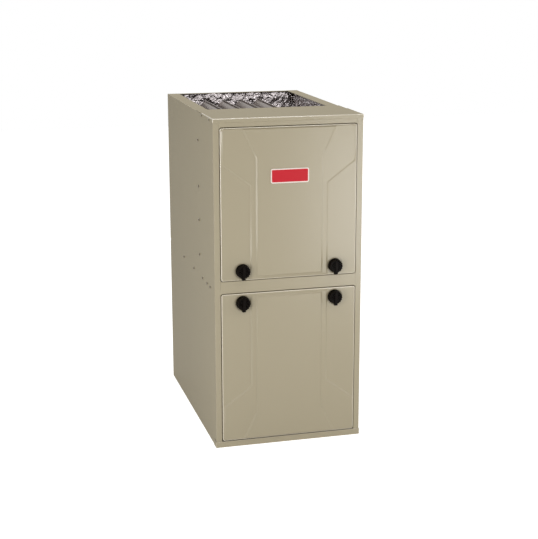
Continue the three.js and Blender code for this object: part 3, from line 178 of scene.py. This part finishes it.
def surface(
    name,
    colour,
    roughness,
    metallic=0.0,
    dark=0.92,
    patch=0.12,
    grain=0.002,
    depth=0.00002,
    gloss_level=0.5,
):
    """A finish: a base colour with faint patches, an uneven gloss and a fine grain, in metres."""
    made = bpy.data.materials.new(name)
    made.use_nodes = True
    tree = made.node_tree
    shader = tree.nodes["Principled BSDF"]
    shader.inputs["Metallic"].default_value = metallic
    shader.inputs["Specular IOR Level"].default_value = gloss_level
    place = {"Vector": add_node(tree, "ShaderNodeTexCoord").outputs["Object"]}
    patches = add_node(tree, "ShaderNodeTexNoise", {"Scale": 1 / patch, "Detail": 4.0}, place)
    fine = add_node(tree, "ShaderNodeTexNoise", {"Scale": 1 / grain, "Detail": 2.0}, place)
    base = linear(colour)
    low = tuple(c * dark for c in base[:3]) + (1.0,)
    shade = add_node(
        tree, "ShaderNodeMix", {6: low, 7: base}, {0: patches.outputs[0]}, data_type="RGBA"
    )
    gloss = add_node(
        tree,
        "ShaderNodeMapRange",
        {"From Min": 0.3, "From Max": 0.7, "To Min": roughness * 0.85, "To Max": roughness * 1.15},
        {"Value": patches.outputs[0]},
    )
    bump = add_node(tree, "ShaderNodeBump", {"Distance": depth}, {"Height": fine.outputs[0]})
    tree.links.new(shade.outputs[2], shader.inputs["Base Color"])
    tree.links.new(gloss.outputs[0], shader.inputs["Roughness"])
    tree.links.new(bump.outputs[0], shader.inputs["Normal"])
    return made


def powder_paint(name, colour, coat):
    """Satin powder coat. It whitens little at a grazing view, so its gloss has a high IOR."""
    made = surface(
        name, colour, 0.5, dark=0.96, patch=0.35, grain=0.003, depth=0.00001, gloss_level=0
    )
    shader = made.node_tree.nodes["Principled BSDF"]
    shader.inputs["Coat Weight"].default_value = coat
    shader.inputs["Coat IOR"].default_value = 3.0
    shader.inputs["Coat Roughness"].default_value = 0.25
    return made


# The orange peel is about 1.5 mm across, drawn at 3 mm so that it shows. The coat along a fold is
# glossier, and its paler colour is a painted highlight, so folds show as bright lines.
powder_coat = powder_paint("beige_powder_coat_on_steel", "A59B82", 0.18)
# Painted highlight: the fold coat is paler than the sheet's own beige.
fold_coat_painted_highlight = powder_paint("beige_powder_coat_on_folds_painted_highlight", "C2B69C", 0.9)


def pick(kind, test):
    """Selects and counts the faces, edges or vertices that pass a test of (middle, element)."""
    mesh = bmesh.from_edit_mesh(bpy.context.edit_object.data)
    bpy.ops.mesh.select_mode(type=kind)
    bpy.ops.mesh.select_all(action="DESELECT")
    found = 0
    for part in {"FACE": mesh.faces, "EDGE": mesh.edges, "VERT": mesh.verts}[kind]:
        corners = [part] if kind == "VERT" else part.verts
        middle = sum((v.co for v in corners), Vector()) / len(corners)
        if test(middle, part):
            part.select_set(True)
            found += 1
    bmesh.update_edit_mesh(bpy.context.edit_object.data)
    return found


def width(face):
    """The width of a long face, or the size of a compact one."""
    return 2 * face.calc_area() / face.calc_perimeter()


def is_fold(middle, edge):
    """An outer corner between two faces that are both wider than the sheet is thick."""
    if len(edge.link_faces) != 2 or not edge.is_convex or edge.calc_face_angle() < math.radians(60):
        return False
    return min(width(face) for face in edge.link_faces) > widest_cut_edge


def is_sharp(middle, edge):
    """An outer corner that no rounding has reached."""
    return len(edge.link_faces) == 2 and edge.is_convex and edge.calc_face_angle() > math.radians(50)


def begin(name, mesh=None):
    """Starts a piece at the origin, in edit mode, with nothing else selected."""
    if bpy.context.mode != "OBJECT":
        bpy.ops.object.mode_set(mode="OBJECT")
    bpy.ops.object.select_all(action="DESELECT")
    piece = bpy.data.objects.new(name, mesh or bpy.data.meshes.new(name))
    bpy.context.scene.collection.objects.link(piece)
    bpy.context.view_layer.objects.active = piece
    piece.select_set(True)
    bpy.ops.object.mode_set(mode="EDIT")
    return piece


def modify(piece, kind, **settings):
    """Adds a modifier with its settings to a piece and applies it."""
    if bpy.context.mode != "OBJECT":
        bpy.ops.object.mode_set(mode="OBJECT")
    modifier = piece.modifiers.new(kind.lower(), kind)
    for name, value in settings.items():
        setattr(modifier, name, value)
    bpy.ops.object.select_all(action="DESELECT")
    bpy.context.view_layer.objects.active = piece
    piece.select_set(True)
    bpy.ops.object.modifier_apply(modifier=modifier.name)


def end(piece, node, finish=None, smooth=35):
    """Shades a finished piece, paints it if it's unpainted, and puts it in its node's place."""
    if bpy.context.mode != "OBJECT":
        bpy.ops.object.mode_set(mode="OBJECT")
    bpy.ops.object.select_all(action="DESELECT")
    bpy.context.view_layer.objects.active = piece
    piece.select_set(True)
    if finish:
        piece.data.materials.append(finish)
    bpy.ops.object.shade_smooth_by_angle(angle=math.radians(smooth))
    modify(piece, "WEIGHTED_NORMAL", keep_sharp=True)
    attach(piece, nodes[node]["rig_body"])
    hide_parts(node)


def shape_node(node, finish, fold, rim, painted_highlight_fold_finish=None):
    """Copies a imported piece, merges its triangles, and rounds its folds and cut edges."""
    piece = begin(f"{node}_finished", nodes[node].data.copy())
    piece.data.materials.clear()
    piece.data.materials.append(finish)
    if painted_highlight_fold_finish:
        piece.data.materials.append(painted_highlight_fold_finish)
    bpy.ops.mesh.customdata_custom_splitnormals_clear()
    bpy.ops.mesh.select_all(action="SELECT")
    bpy.ops.mesh.remove_doubles(threshold=0.00001)
    bpy.ops.mesh.dissolve_limited(angle_limit=math.radians(1))
    # The rounded folds take the second finish, whose paler colour is a painted highlight.
    if fold and pick("EDGE", is_fold):
        bpy.ops.mesh.bevel(
            offset=fold,
            segments=4,
            affect="EDGES",
            clamp_overlap=True,
            material=1 if painted_highlight_fold_finish else 0,
        )
    if rim and pick("EDGE", is_sharp):
        bpy.ops.mesh.bevel(offset=rim, segments=1, affect="EDGES", clamp_overlap=True)
    return piece


def finish_node(node, finish, fold, rim):
    """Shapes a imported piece, paints it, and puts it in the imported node's place."""
    end(shape_node(node, finish, fold, rim), node)


def add_box(low, high):
    """Adds a box between two corners to the piece in edit mode."""
    middle = [(a + b) / 2 for a, b in zip(low, high)]
    spans = [b - a for a, b in zip(low, high)]
    bpy.ops.mesh.primitive_cube_add(size=1, location=middle, scale=spans)


def combine(piece, tool, operation):
    """Joins a tool to a piece, or cuts it out of the piece, and removes the tool."""
    modify(piece, "BOOLEAN", object=tool, operation=operation, solver="EXACT")
    bpy.data.objects.remove(tool)


for node in (
    "left_side_panel",
    "right_side_panel",
    "back_panel",
    "base_pan",
    "base_rail",
    "mid_rail",
    "header_rail",
    "top_front_plate",
    "top_rear_strip",
):
    fold = thin_fold if node == "base_rail" else fold_radius
    sheet_piece = shape_node(node, powder_coat, fold, cut_edge, fold_coat_painted_highlight)
    if node == "mid_rail":
        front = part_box(node)[0][1]
        plugs = begin("keeper_slot_floors")
        for x in (-keeper_x, keeper_x):
            add_box(
                (x - keeper_half, front + groove_depth, keeper_low),
                (x + keeper_half, front + sheet, keeper_high),
            )
        combine(sheet_piece, plugs, "UNION")
    end(sheet_piece, node)

# ---------------------------------------------------------------- doors
# Two lift-off doors, each pressed from one 1.2 mm sheet: a centre field that flares at the far
# edge, a channel round it, a dish for each latch knob, and tabs that hook behind the rail.
corner_radius, rim_radius = 0.006, 0.0022
# Each level of the relief rises over the draft, but at the far end over a share of it only.
level, draft, far_share = 0.003, 0.006, 0.3
relief_corner = 0.012
channel_half, channel_knee, channel_side = 0.1215, 0.174, 0.108
centre_half, centre_knee, centre_flare = 0.1045, 0.092, 0.149
tab_x, tab_y, tab_half = 0.120, -0.356, 0.015
tab_lap, tab_reach, tab_thickness = 0.0006, 0.0019, 0.002
knob_x = 0.1445
latch_z = {"upper_door": 0.55725, "lower_door": 0.45875}
dish_depth, dish_radius, dish_back_radius, dish_taper = 0.002, 0.0246, 0.026, 0.0008
shaft_hole = 0.0083


def add_rod(x, z, radius, front, back, sides=64):
    """Adds a cylinder along Y to the piece in edit mode."""
    bpy.ops.mesh.primitive_cylinder_add(
        vertices=sides,
        radius=radius,
        depth=back - front,
        location=(x, (front + back) / 2, z),
        rotation=(math.pi / 2, 0, 0),
    )


def press_field(field, far, up, corner, outline, lines):
    """Presses one level of the relief into the flat front at y = field, with round corners."""

    def is_flat(m, f):
        return f.normal.y < -0.99 and abs(m.y - field) < 0.0001

    cuts = []
    for (x0, z0), (x1, z1) in lines:
        cuts.append((x0, z0, z1 - z0, x0 - x1))
    for degrees in (15, 45, 75):
        turn = Vector((math.cos(math.radians(degrees)), up * math.sin(math.radians(degrees))))
        cuts.append((*(corner + relief_corner * turn), *turn))
    for x, z, across_x, across_z in cuts:
        for side in (-1, 1):
            pick("FACE", is_flat)
            bpy.ops.mesh.bisect(plane_co=(side * x, 0, z), plane_no=(side * across_x, 0, across_z))

    def is_inside(m, f):
        beyond = Vector((abs(m.x) - corner.x, (m.z - corner.y) * up))
        in_corner = min(beyond) > 0 and beyond.length > relief_corner
        return is_flat(m, f) and abs(m.x) < outline(abs(far - m.z)) and not in_corner

    pick("FACE", is_inside)
    mesh = bmesh.from_edit_mesh(bpy.context.edit_object.data)
    edge = max(v.co.z * up for v in mesh.verts if v.select)
    for share_across, share_deep in ((0.15, 0.08), (0.7, 0.84), (0.15, 0.08)):
        bpy.ops.mesh.inset(
            thickness=draft * share_across, depth=level * share_deep, use_even_offset=True
        )
    mesh = bmesh.from_edit_mesh(bpy.context.edit_object.data)
    for vertex in mesh.verts:
        short = edge - vertex.co.z * up
        if vertex.co.y < field - 0.00001 and short < draft * 1.05:
            vertex.co.z = up * (edge - short * far_share)
    bmesh.update_edit_mesh(bpy.context.edit_object.data)


for node in ("upper_door", "lower_door"):
    low, high = (Vector(corner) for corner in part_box(node))
    up = 1 if node == "upper_door" else -1
    near = low.z if up > 0 else high.z
    far = high.z - tab_reach if up > 0 else low.z + tab_reach
    half, field, back = high.x, low.y + 2 * level, high.y
    panel = begin(f"{node}_pressing")
    panel.data.materials.append(powder_coat)
    panel.data.materials.append(fold_coat_painted_highlight)
    add_box((-half, field, min(near, far)), (half, back, max(near, far)))
    pick("FACE", lambda m, f: f.normal.y > 0.9)
    bpy.ops.mesh.delete(type="FACE")
    pick("EDGE", lambda m, e: abs((e.verts[0].co - e.verts[1].co).y) > 0.01)
    bpy.ops.mesh.bevel(offset=corner_radius, segments=6, affect="EDGES")
    pick("EDGE", lambda m, e: all(abs(v.co.y - field) < 0.00001 for v in e.verts))
    # The rounded rim takes the fold coat, whose paler colour is a painted highlight.
    bpy.ops.mesh.bevel(offset=rim_radius, segments=4, affect="EDGES", material=1)

    def channel_edge(t):
        spread = (channel_knee - t) / (channel_knee - channel_side)
        return channel_half + (half - channel_half) * min(1, max(0, spread))

    def centre_edge(t):
        return centre_half + (centre_flare - centre_half) * max(0, 1 - t / centre_knee)

    margin = rim_radius + relief_corner
    corner = Vector((half - margin, far - up * margin))
    channel_lines = [
        ((channel_half, near), (channel_half, far)),
        ((channel_half, far - up * channel_knee), (half, far - up * channel_side)),
    ]
    press_field(field, far, up, corner, channel_edge, channel_lines)
    centre_lines = [
        ((centre_half, near), (centre_half, far)),
        ((centre_half, far - up * centre_knee), (centre_flare, far)),
    ]
    press_field(field - level, far, up, corner, centre_edge, centre_lines)
    pick("FACE", lambda m, f: f.normal.y < -0.99)
    bpy.ops.mesh.dissolve_limited(angle_limit=math.radians(0.5))
    modify(panel, "SOLIDIFY", thickness=sheet, offset=-1)

    dish_floor = field + dish_depth
    seats = begin("dish_backs")
    for x in (-knob_x, knob_x):
        add_rod(x, latch_z[node], dish_back_radius, field + sheet / 2, dish_floor + sheet)
    combine(panel, seats, "UNION")
    cutter = begin("dish_cutter")
    for x in (-knob_x, knob_x):
        add_rod(x, latch_z[node], dish_radius, field - 0.012, field)
        pick("FACE", lambda m, f: f.normal.y > 0.9 and abs(m.x - x) < 0.01 and m.y > field - 0.001)
        bpy.ops.mesh.inset(thickness=dish_taper, depth=dish_floor - field)
    combine(panel, cutter, "DIFFERENCE")
    cutter = begin("shaft_cutter")
    for x in (-knob_x, knob_x):
        add_rod(x, latch_z[node], shaft_hole, field - 0.01, dish_floor + 0.01, 40)
    combine(panel, cutter, "DIFFERENCE")

    bpy.ops.object.mode_set(mode="EDIT")
    ends = sorted((far - up * tab_lap, far + up * tab_reach))
    for x in (-tab_x, tab_x):
        add_box((x - tab_half, tab_y, ends[0]), (x + tab_half, tab_y + tab_thickness, ends[1]))
    end(panel, node)

# ---------------------------------------------------------------- latch knobs
# Four quarter-turn latches moulded in black nylon: a fluted grip with a finger bar and a
# pointer, on a shaft whose wing catches behind the rail.
black_nylon = surface(
    "moulded_black_nylon", "0A0502", 0.35, dark=0.8, patch=0.02, grain=0.0012, gloss_level=0.06
)
grip_radius, base_radius, flutes = 0.0203, 0.0215, 16
rim_points = 6 * flutes
foot, face = -0.3633, -0.3833
base_front = foot - 0.006
rim_y = foot - 0.005
chamfer, recess = 0.001, 0.0006
shaft_radius = 0.008
wing_front, wing_back, wing_half, wing_tip = -0.3436, -0.3406, 0.006, 0.0296
finger_bar = ((-0.0045, face - 0.0025, -0.0175), (0.0045, face + 0.001, 0.0165))
pointer = ((-0.0055, face + 0.001, -0.0255), (0.0055, foot - 0.007, -0.0155))


def rounded(test, offset, segments=2):
    """Rounds the edges that pass a test on the piece in edit mode."""
    if pick("EDGE", test):
        bpy.ops.mesh.bevel(offset=offset, segments=segments, affect="EDGES")


def in_flute(middle, vertex):
    """A vertex of the grip's rim that lies in one of its hollows."""
    on_rim = abs(middle.y - rim_y) < 0.00001 and abs(middle.xz.length - grip_radius) < 0.0001
    return on_rim and math.cos(flutes * math.atan2(middle.z, middle.x)) < -0.4


def on_finger_bar(middle, edge):
    """A long edge of the finger bar, proud of the knob's face."""
    return middle.y < face - 0.0001 and abs(middle.x) < 0.0046 and edge.calc_length() > 0.001


knob = begin("latch_knob")
add_rod(0, 0, base_radius, base_front, foot)
rounded(lambda m, e: all(v.co.y < base_front + 0.0001 for v in e.verts), 0.0012, 3)
bpy.ops.mesh.primitive_circle_add(
    vertices=rim_points,
    radius=grip_radius,
    fill_type="NGON",
    location=(0, rim_y, 0),
    rotation=(math.pi / 2, 0, 0),
)
pick("VERT", in_flute)
bpy.ops.transform.resize(value=(0.935, 1, 0.935), center_override=(0, rim_y, 0))
pick("FACE", lambda m, f: abs(m.y - rim_y) < 0.00001 and len(f.verts) == rim_points)
bpy.ops.mesh.extrude_region_move(TRANSFORM_OT_translate={"value": (0, face + chamfer - rim_y, 0)})
bpy.ops.mesh.inset(thickness=chamfer, depth=0.0)
bpy.ops.transform.translate(value=(0, -chamfer, 0))
bpy.ops.mesh.inset(thickness=0.0022, depth=0.0)
bpy.ops.mesh.inset(thickness=recess, depth=0.0)
bpy.ops.transform.translate(value=(0, recess, 0))
add_box(*finger_bar)
rounded(on_finger_bar, 0.0009, 3)
add_box(*pointer)
rounded(lambda m, e: m.z < -0.0205 and e.calc_length() > 0.002, 0.0016, 3)
add_rod(0, 0, shaft_radius, foot - 0.001, wing_back, 40)
bpy.ops.object.mode_set(mode="OBJECT")
for node, wing_way in (
    ("latch_knob_upper_left", -1),
    ("latch_knob_upper_right", -1),
    ("latch_knob_lower_left", 1),
    ("latch_knob_lower_right", 1),
):
    x = knob_x if node.endswith("right") else -knob_x
    z = latch_z["upper_door" if wing_way < 0 else "lower_door"]
    copy = begin(f"{node}_moulding", knob.data.copy())
    ends = sorted((-wing_way * shaft_radius, wing_way * wing_tip))
    add_box((-wing_half, wing_front, ends[0]), (wing_half, wing_back, ends[1]))
    rounded(lambda m, e: m.y > wing_front - 0.0001 and abs(m.z) > 0.02, 0.0006)
    bpy.ops.object.mode_set(mode="OBJECT")
    copy.data.transform(Matrix.Translation((x, 0, z)))
    end(copy, node, black_nylon)
bpy.data.objects.remove(knob)

# ---------------------------------------------------------------- badge plate
# A blank plate on the upper door: stamped aluminium, enamelled red inside a raised pale rim,
# held by adhesive on the door's centre field.
red_enamel = surface(
    "red_enamel_on_aluminium",
    "C82834",
    0.3,
    dark=0.95,
    patch=0.05,
    grain=0.004,
    depth=0.000005,
    gloss_level=0.12,
)
pale_rim = surface(
    "pale_satin_rim", "EFE3DC", 0.35, dark=0.96, patch=0.04, grain=0.002, depth=0.000005
)
plate_corner, rim_width, rim_slope, rim_height = 0.006, 0.003, 0.0004, 0.0006
low, high = (Vector(corner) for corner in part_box("badge_plate"))
plate = begin("badge_plate_enamelled")
add_box(low, high)
pick("EDGE", lambda m, e: abs((e.verts[0].co - e.verts[1].co).y) > 0.001)
bpy.ops.mesh.bevel(offset=plate_corner, segments=6, affect="EDGES")
pick("FACE", lambda m, f: f.normal.y < -0.99)
bpy.ops.mesh.inset(thickness=rim_width, depth=0)
bpy.ops.mesh.inset(thickness=rim_slope, depth=-rim_height)
bpy.ops.object.mode_set(mode="OBJECT")
plate.data.materials.append(pale_rim)
plate.data.materials.append(red_enamel)
for polygon in plate.data.polygons:
    if polygon.normal.y < -0.99 and polygon.center.y > low.y + rim_height / 2:
        polygon.material_index = 1
modify(plate, "BEVEL", width=rim_slope, segments=2, limit_method="ANGLE")
end(plate, "badge_plate")

# ---------------------------------------------------------------- foil-faced insulation
# Glass-wool slabs faced with thin aluminium foil, glued to the casing round the heat exchanger
# and inside the lower door. The foil is crumpled, so it throws back small bright flashes.


def crumpled_foil(name, colour, cell):
    """Bright foil whose creases are the edges of cells of a given size, in metres."""
    made = surface(name, colour, 0.24, metallic=1.0, dark=0.75, patch=0.02)
    tree = made.node_tree
    shader = tree.nodes["Principled BSDF"]
    place = add_node(tree, "ShaderNodeTexCoord").outputs["Object"]
    warp = add_node(
        tree, "ShaderNodeTexNoise", {"Scale": 1 / cell, "Detail": 3.0}, {"Vector": place}
    )
    mixed = add_node(
        tree,
        "ShaderNodeVectorMath",
        {"Scale": cell * 0.8},
        {0: warp.outputs["Color"]},
        operation="SCALE",
    )
    moved = add_node(
        tree, "ShaderNodeVectorMath", links={0: place, 1: mixed.outputs[0]}, operation="ADD"
    )
    height = None
    for scale, share in ((1.0, 1.0), (0.4, 0.4)):
        creases = add_node(
            tree,
            "ShaderNodeTexVoronoi",
            {"Scale": 1 / (cell * scale)},
            {"Vector": moved.outputs[0]},
        )
        bump = add_node(
            tree,
            "ShaderNodeBump",
            {"Strength": 1.0, "Distance": cell * 0.45 * share},
            {"Height": creases.outputs["Distance"]},
        )
        if height:
            tree.links.new(height.outputs[0], bump.inputs["Normal"])
        height = bump
    tree.links.new(height.outputs[0], shader.inputs["Normal"])
    return made


foil = crumpled_foil("crumpled_aluminium_foil", "CCC4C4", 0.02)
crease_texture = bpy.data.textures.new("foil_creases", "VORONOI")
crease_texture.noise_scale = 0.035
thin_top, slope_height, crumple = 0.012, 0.080, 0.007
for node, inward in (
    ("left_liner", Vector((1, 0, 0))),
    ("right_liner", Vector((-1, 0, 0))),
    ("back_liner", Vector((0, -1, 0))),
):
    low, high = (Vector(corner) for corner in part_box(node))
    heart = (low + high) / 2
    slab = begin(f"{node}_foil_faced")
    add_box(low, high)
    bpy.ops.mesh.select_all(action="SELECT")
    bpy.ops.mesh.bisect(plane_co=(0, 0, high.z - slope_height), plane_no=(0, 0, 1))
    pick("VERT", lambda m, v: v.co.z > high.z - 0.0001 and (v.co - heart).dot(inward) > 0)
    bpy.ops.transform.translate(value=-inward * thin_top)
    bpy.ops.mesh.select_all(action="SELECT")
    bpy.ops.mesh.subdivide(number_cuts=40)
    modify(slab, "DISPLACE", texture=crease_texture, strength=crumple, mid_level=0.75)
    wall = min(low.dot(inward), high.dot(inward))
    for vertex in slab.data.vertices:
        vertex.co += max(0, wall - vertex.co.dot(inward)) * inward
        vertex.co.z = min(vertex.co.z, high.z)
    end(slab, node, foil, smooth=20)
finish_node("lower_door_liner", foil, fold=0, rim=0.002)

# ---------------------------------------------------------------- heat exchanger
# Four cells, each two aluminised-steel shells pressed with four passes and crimped together,
# the rear coupling box, and the fin-and-tube condensing coil below them.
aluminised = surface(
    "aluminised_steel_heat_tinted", "837870", 0.34, metallic=0.75, dark=0.7, patch=0.05, grain=0.003
)
box_fold = 0.0015
for number in (1, 2, 3, 4):
    finish_node(f"heat_exchanger_cell_{number}", aluminised, fold=0, rim=0.0006)
finish_node("coupling_box", aluminised, fold=box_fold, rim=cut_edge)
fin_metal = surface(
    "aluminium_fin_stock", "B4B6B8", 0.3, metallic=0.9, dark=0.85, patch=0.02, grain=0.002
)
finish_node("condensing_coil", fin_metal, fold=0, rim=0)

# ---------------------------------------------------------------- galvanised pieces
# The cell panel, the blower deck, the burner box, the blower's housing and wheel, and the
# electrical boxes: bare galvanised sheet with its frosty spangle.


def galvanised(name, colour, spangle):
    """Zinc-coated sheet: crystals of a given size, each with its own tone and gloss."""
    made = surface(name, colour, 0.4, metallic=0.85, dark=0.85, patch=0.1, grain=0.004)
    tree = made.node_tree
    shader = tree.nodes["Principled BSDF"]
    place = add_node(tree, "ShaderNodeTexCoord").outputs["Object"]
    crystals = add_node(tree, "ShaderNodeTexVoronoi", {"Scale": 1 / spangle}, {"Vector": place})
    tone = add_node(tree, "ShaderNodeSeparateColor", links={0: crystals.outputs["Color"]})
    base = linear(colour)
    shade = add_node(
        tree,
        "ShaderNodeMix",
        {6: tuple(0.78 * c for c in base[:3]) + (1.0,), 7: base},
        {0: tone.outputs[0]},
        data_type="RGBA",
    )
    gloss = add_node(
        tree, "ShaderNodeMapRange", {"To Min": 0.3, "To Max": 0.5}, {"Value": tone.outputs[1]}
    )
    tree.links.new(shade.outputs[2], shader.inputs["Base Color"])
    tree.links.new(gloss.outputs[0], shader.inputs["Roughness"])
    return made


zinc = galvanised("galvanised_sheet_with_spangle", "A9ADB0", 0.007)
for node in (
    "cell_panel",
    "blower_deck",
    "burner_box",
    "control_box",
    "junction_box",
    "blower_housing",
):
    finish_node(node, zinc, fold=box_fold, rim=0)
finish_node("blower_wheel", zinc, fold=0, rim=0)
finish_node("burner_rack", aluminised, fold=0, rim=0)

# ---------------------------------------------------------------- plastic and rubber
# The collector box, the inducer and the trap are moulded in black plastic, the flue and air
# pipes are white PVC, the switches grey plastic, and the hoses and the harness black rubber.
# The gas valve's knob and the reset button are red, the igniter and the flame sensor ceramic.
black_plastic = surface("moulded_black_plastic", "1C1A18", 0.45, dark=0.8, patch=0.03, grain=0.0015)
white_pvc = surface("white_pvc_pipe", "E4E2DA", 0.3, dark=0.95, patch=0.1, grain=0.004)
grey_plastic = surface("moulded_grey_plastic", "55585A", 0.5, dark=0.9, patch=0.02, grain=0.001)
rubber = surface("black_rubber_hose", "1C1C1C", 0.7, dark=0.8, patch=0.02, grain=0.001, depth=0.00004)
red_plastic = surface("moulded_red_plastic", "B02A22", 0.35, dark=0.9, patch=0.02, grain=0.001)
ceramic = surface("white_ceramic_insulator", "E8E4D8", 0.5, dark=0.93, patch=0.01, grain=0.0008)
for finish, rim, names in (
    (
        black_plastic,
        0.0008,
        ("collector_box", "inducer_housing", "rollout_switch", "condensate_trap"),
    ),
    (black_plastic, 0, ("inducer_wheel",)),
    (white_pvc, 0.0006, ("vent_elbow", "air_intake_pipe", "door_switch_plunger")),
    (grey_plastic, 0.0008, ("limit_switch", "pressure_switch", "door_switch")),
    (rubber, 0, ("pressure_hose", "drain_hose", "wiring_harness")),
    (red_plastic, 0.0006, ("gas_valve_knob", "rollout_reset_button")),
    (ceramic, 0.0006, ("igniter", "flame_sensor")),
):
    for node in names:
        finish_node(node, finish, fold=0, rim=rim)

# ---------------------------------------------------------------- gas train and motors
# Black-painted steel pipe for the manifold, the gas supply and the motor's bracket, a
# die-cast aluminium gas valve, painted motors, the transformer and the circuit board.
black_steel = surface("black_painted_steel", "2A2A2B", 0.5, metallic=0.3, dark=0.85, patch=0.03)
cast_metal = surface(
    "die_cast_aluminium", "B4B6B8", 0.45, metallic=0.9, dark=0.88, patch=0.01, grain=0.0012
)
motor_paint = surface("grey_motor_enamel", "30343A", 0.4, metallic=0.2, dark=0.9, patch=0.04)
varnish = surface("varnished_copper_winding", "B06A3C", 0.35, metallic=0.8, dark=0.8, patch=0.006)
board = surface("green_circuit_board", "1F5C38", 0.45, dark=0.85, patch=0.006, grain=0.0008)
for finish, rim, names in (
    (black_steel, 0.0004, ("gas_manifold", "gas_pipe", "motor_bracket")),
    (cast_metal, 0.001, ("gas_valve",)),
    (motor_paint, 0.0015, ("inducer_motor", "blower_motor")),
    (varnish, 0.0006, ("transformer",)),
    (board, 0, ("control_board",)),
):
    for node in names:
        finish_node(node, finish, fold=0, rim=rim)

# ---------------------------------------------------------------- screws
# Zinc-plated self-drilling screws with hexagonal washer heads: a column on the cell panel's
# flange, a row on the blower deck's flange, two on each side of the top plate, and the back's.
zinc_plate = surface(
    "zinc_plated_screw", "8F887A", 0.35, metallic=0.8, dark=0.8, patch=0.003, grain=0.001
)
washer_height, head_height = 0.0009, 0.0028
near_top = head_height - 0.0001
screw = begin("hex_washer_screw")
for sides, radius, height in ((24, 0.0043, washer_height), (6, 0.0034, head_height)):
    bpy.ops.mesh.primitive_cylinder_add(
        vertices=sides, radius=radius, depth=height, location=(0, 0, height / 2)
    )
rounded(lambda m, e: m.z > near_top and e.calc_length() > 0.002, 0.0004)
pick("FACE", lambda m, f: f.normal.z > 0.99 and m.z > near_top)
bpy.ops.mesh.inset(thickness=0.0009, depth=-0.0004)
bpy.ops.object.mode_set(mode="OBJECT")
side_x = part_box("left_side_panel")[0][0]
plate_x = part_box("top_front_plate")[0][0]
back_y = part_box("left_side_panel")[1][1]
column = [(side_x, -0.145, z) for z in (0.925, 0.781, 0.675, 0.564)]
row = [(side_x, y, 0.497) for y in (0.112, -0.051, -0.184, -0.254, -0.298)]
lip = [(plate_x, -0.318, 1.0085), (plate_x, -0.213, 1.0095)]
side_places = column + row + lip
leftwards = Matrix.Rotation(-math.pi / 2, 4, "Y")
rightwards = Matrix.Rotation(math.pi / 2, 4, "Y")
places = []
for i, (x, y, z) in enumerate(side_places):
    places.append((f"left_{i}", Matrix.Translation((x, y, z)) @ leftwards))
for i, (x, y, z) in enumerate(side_places):
    places.append((f"right_{i}", Matrix.Translation((-x, y, z)) @ rightwards))
behind = Matrix.Rotation(-math.pi / 2, 4, "X")
for i, z in enumerate((0.08, 0.32, 0.58, 0.82, 0.98)):
    for side in (-1, 1):
        place = Matrix.Translation((side * 0.221, back_y, z)) @ behind
        places.append((f"back_{'left' if side < 0 else 'right'}_{i}", place))
for name, place in places:
    copy = bpy.data.objects.new(f"screw_{name}", screw.data.copy())
    bpy.context.scene.collection.objects.link(copy)
    copy.data.transform(place)
    copy.data.materials.append(zinc_plate)
    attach(copy, "cabinet")
bpy.data.objects.remove(screw)
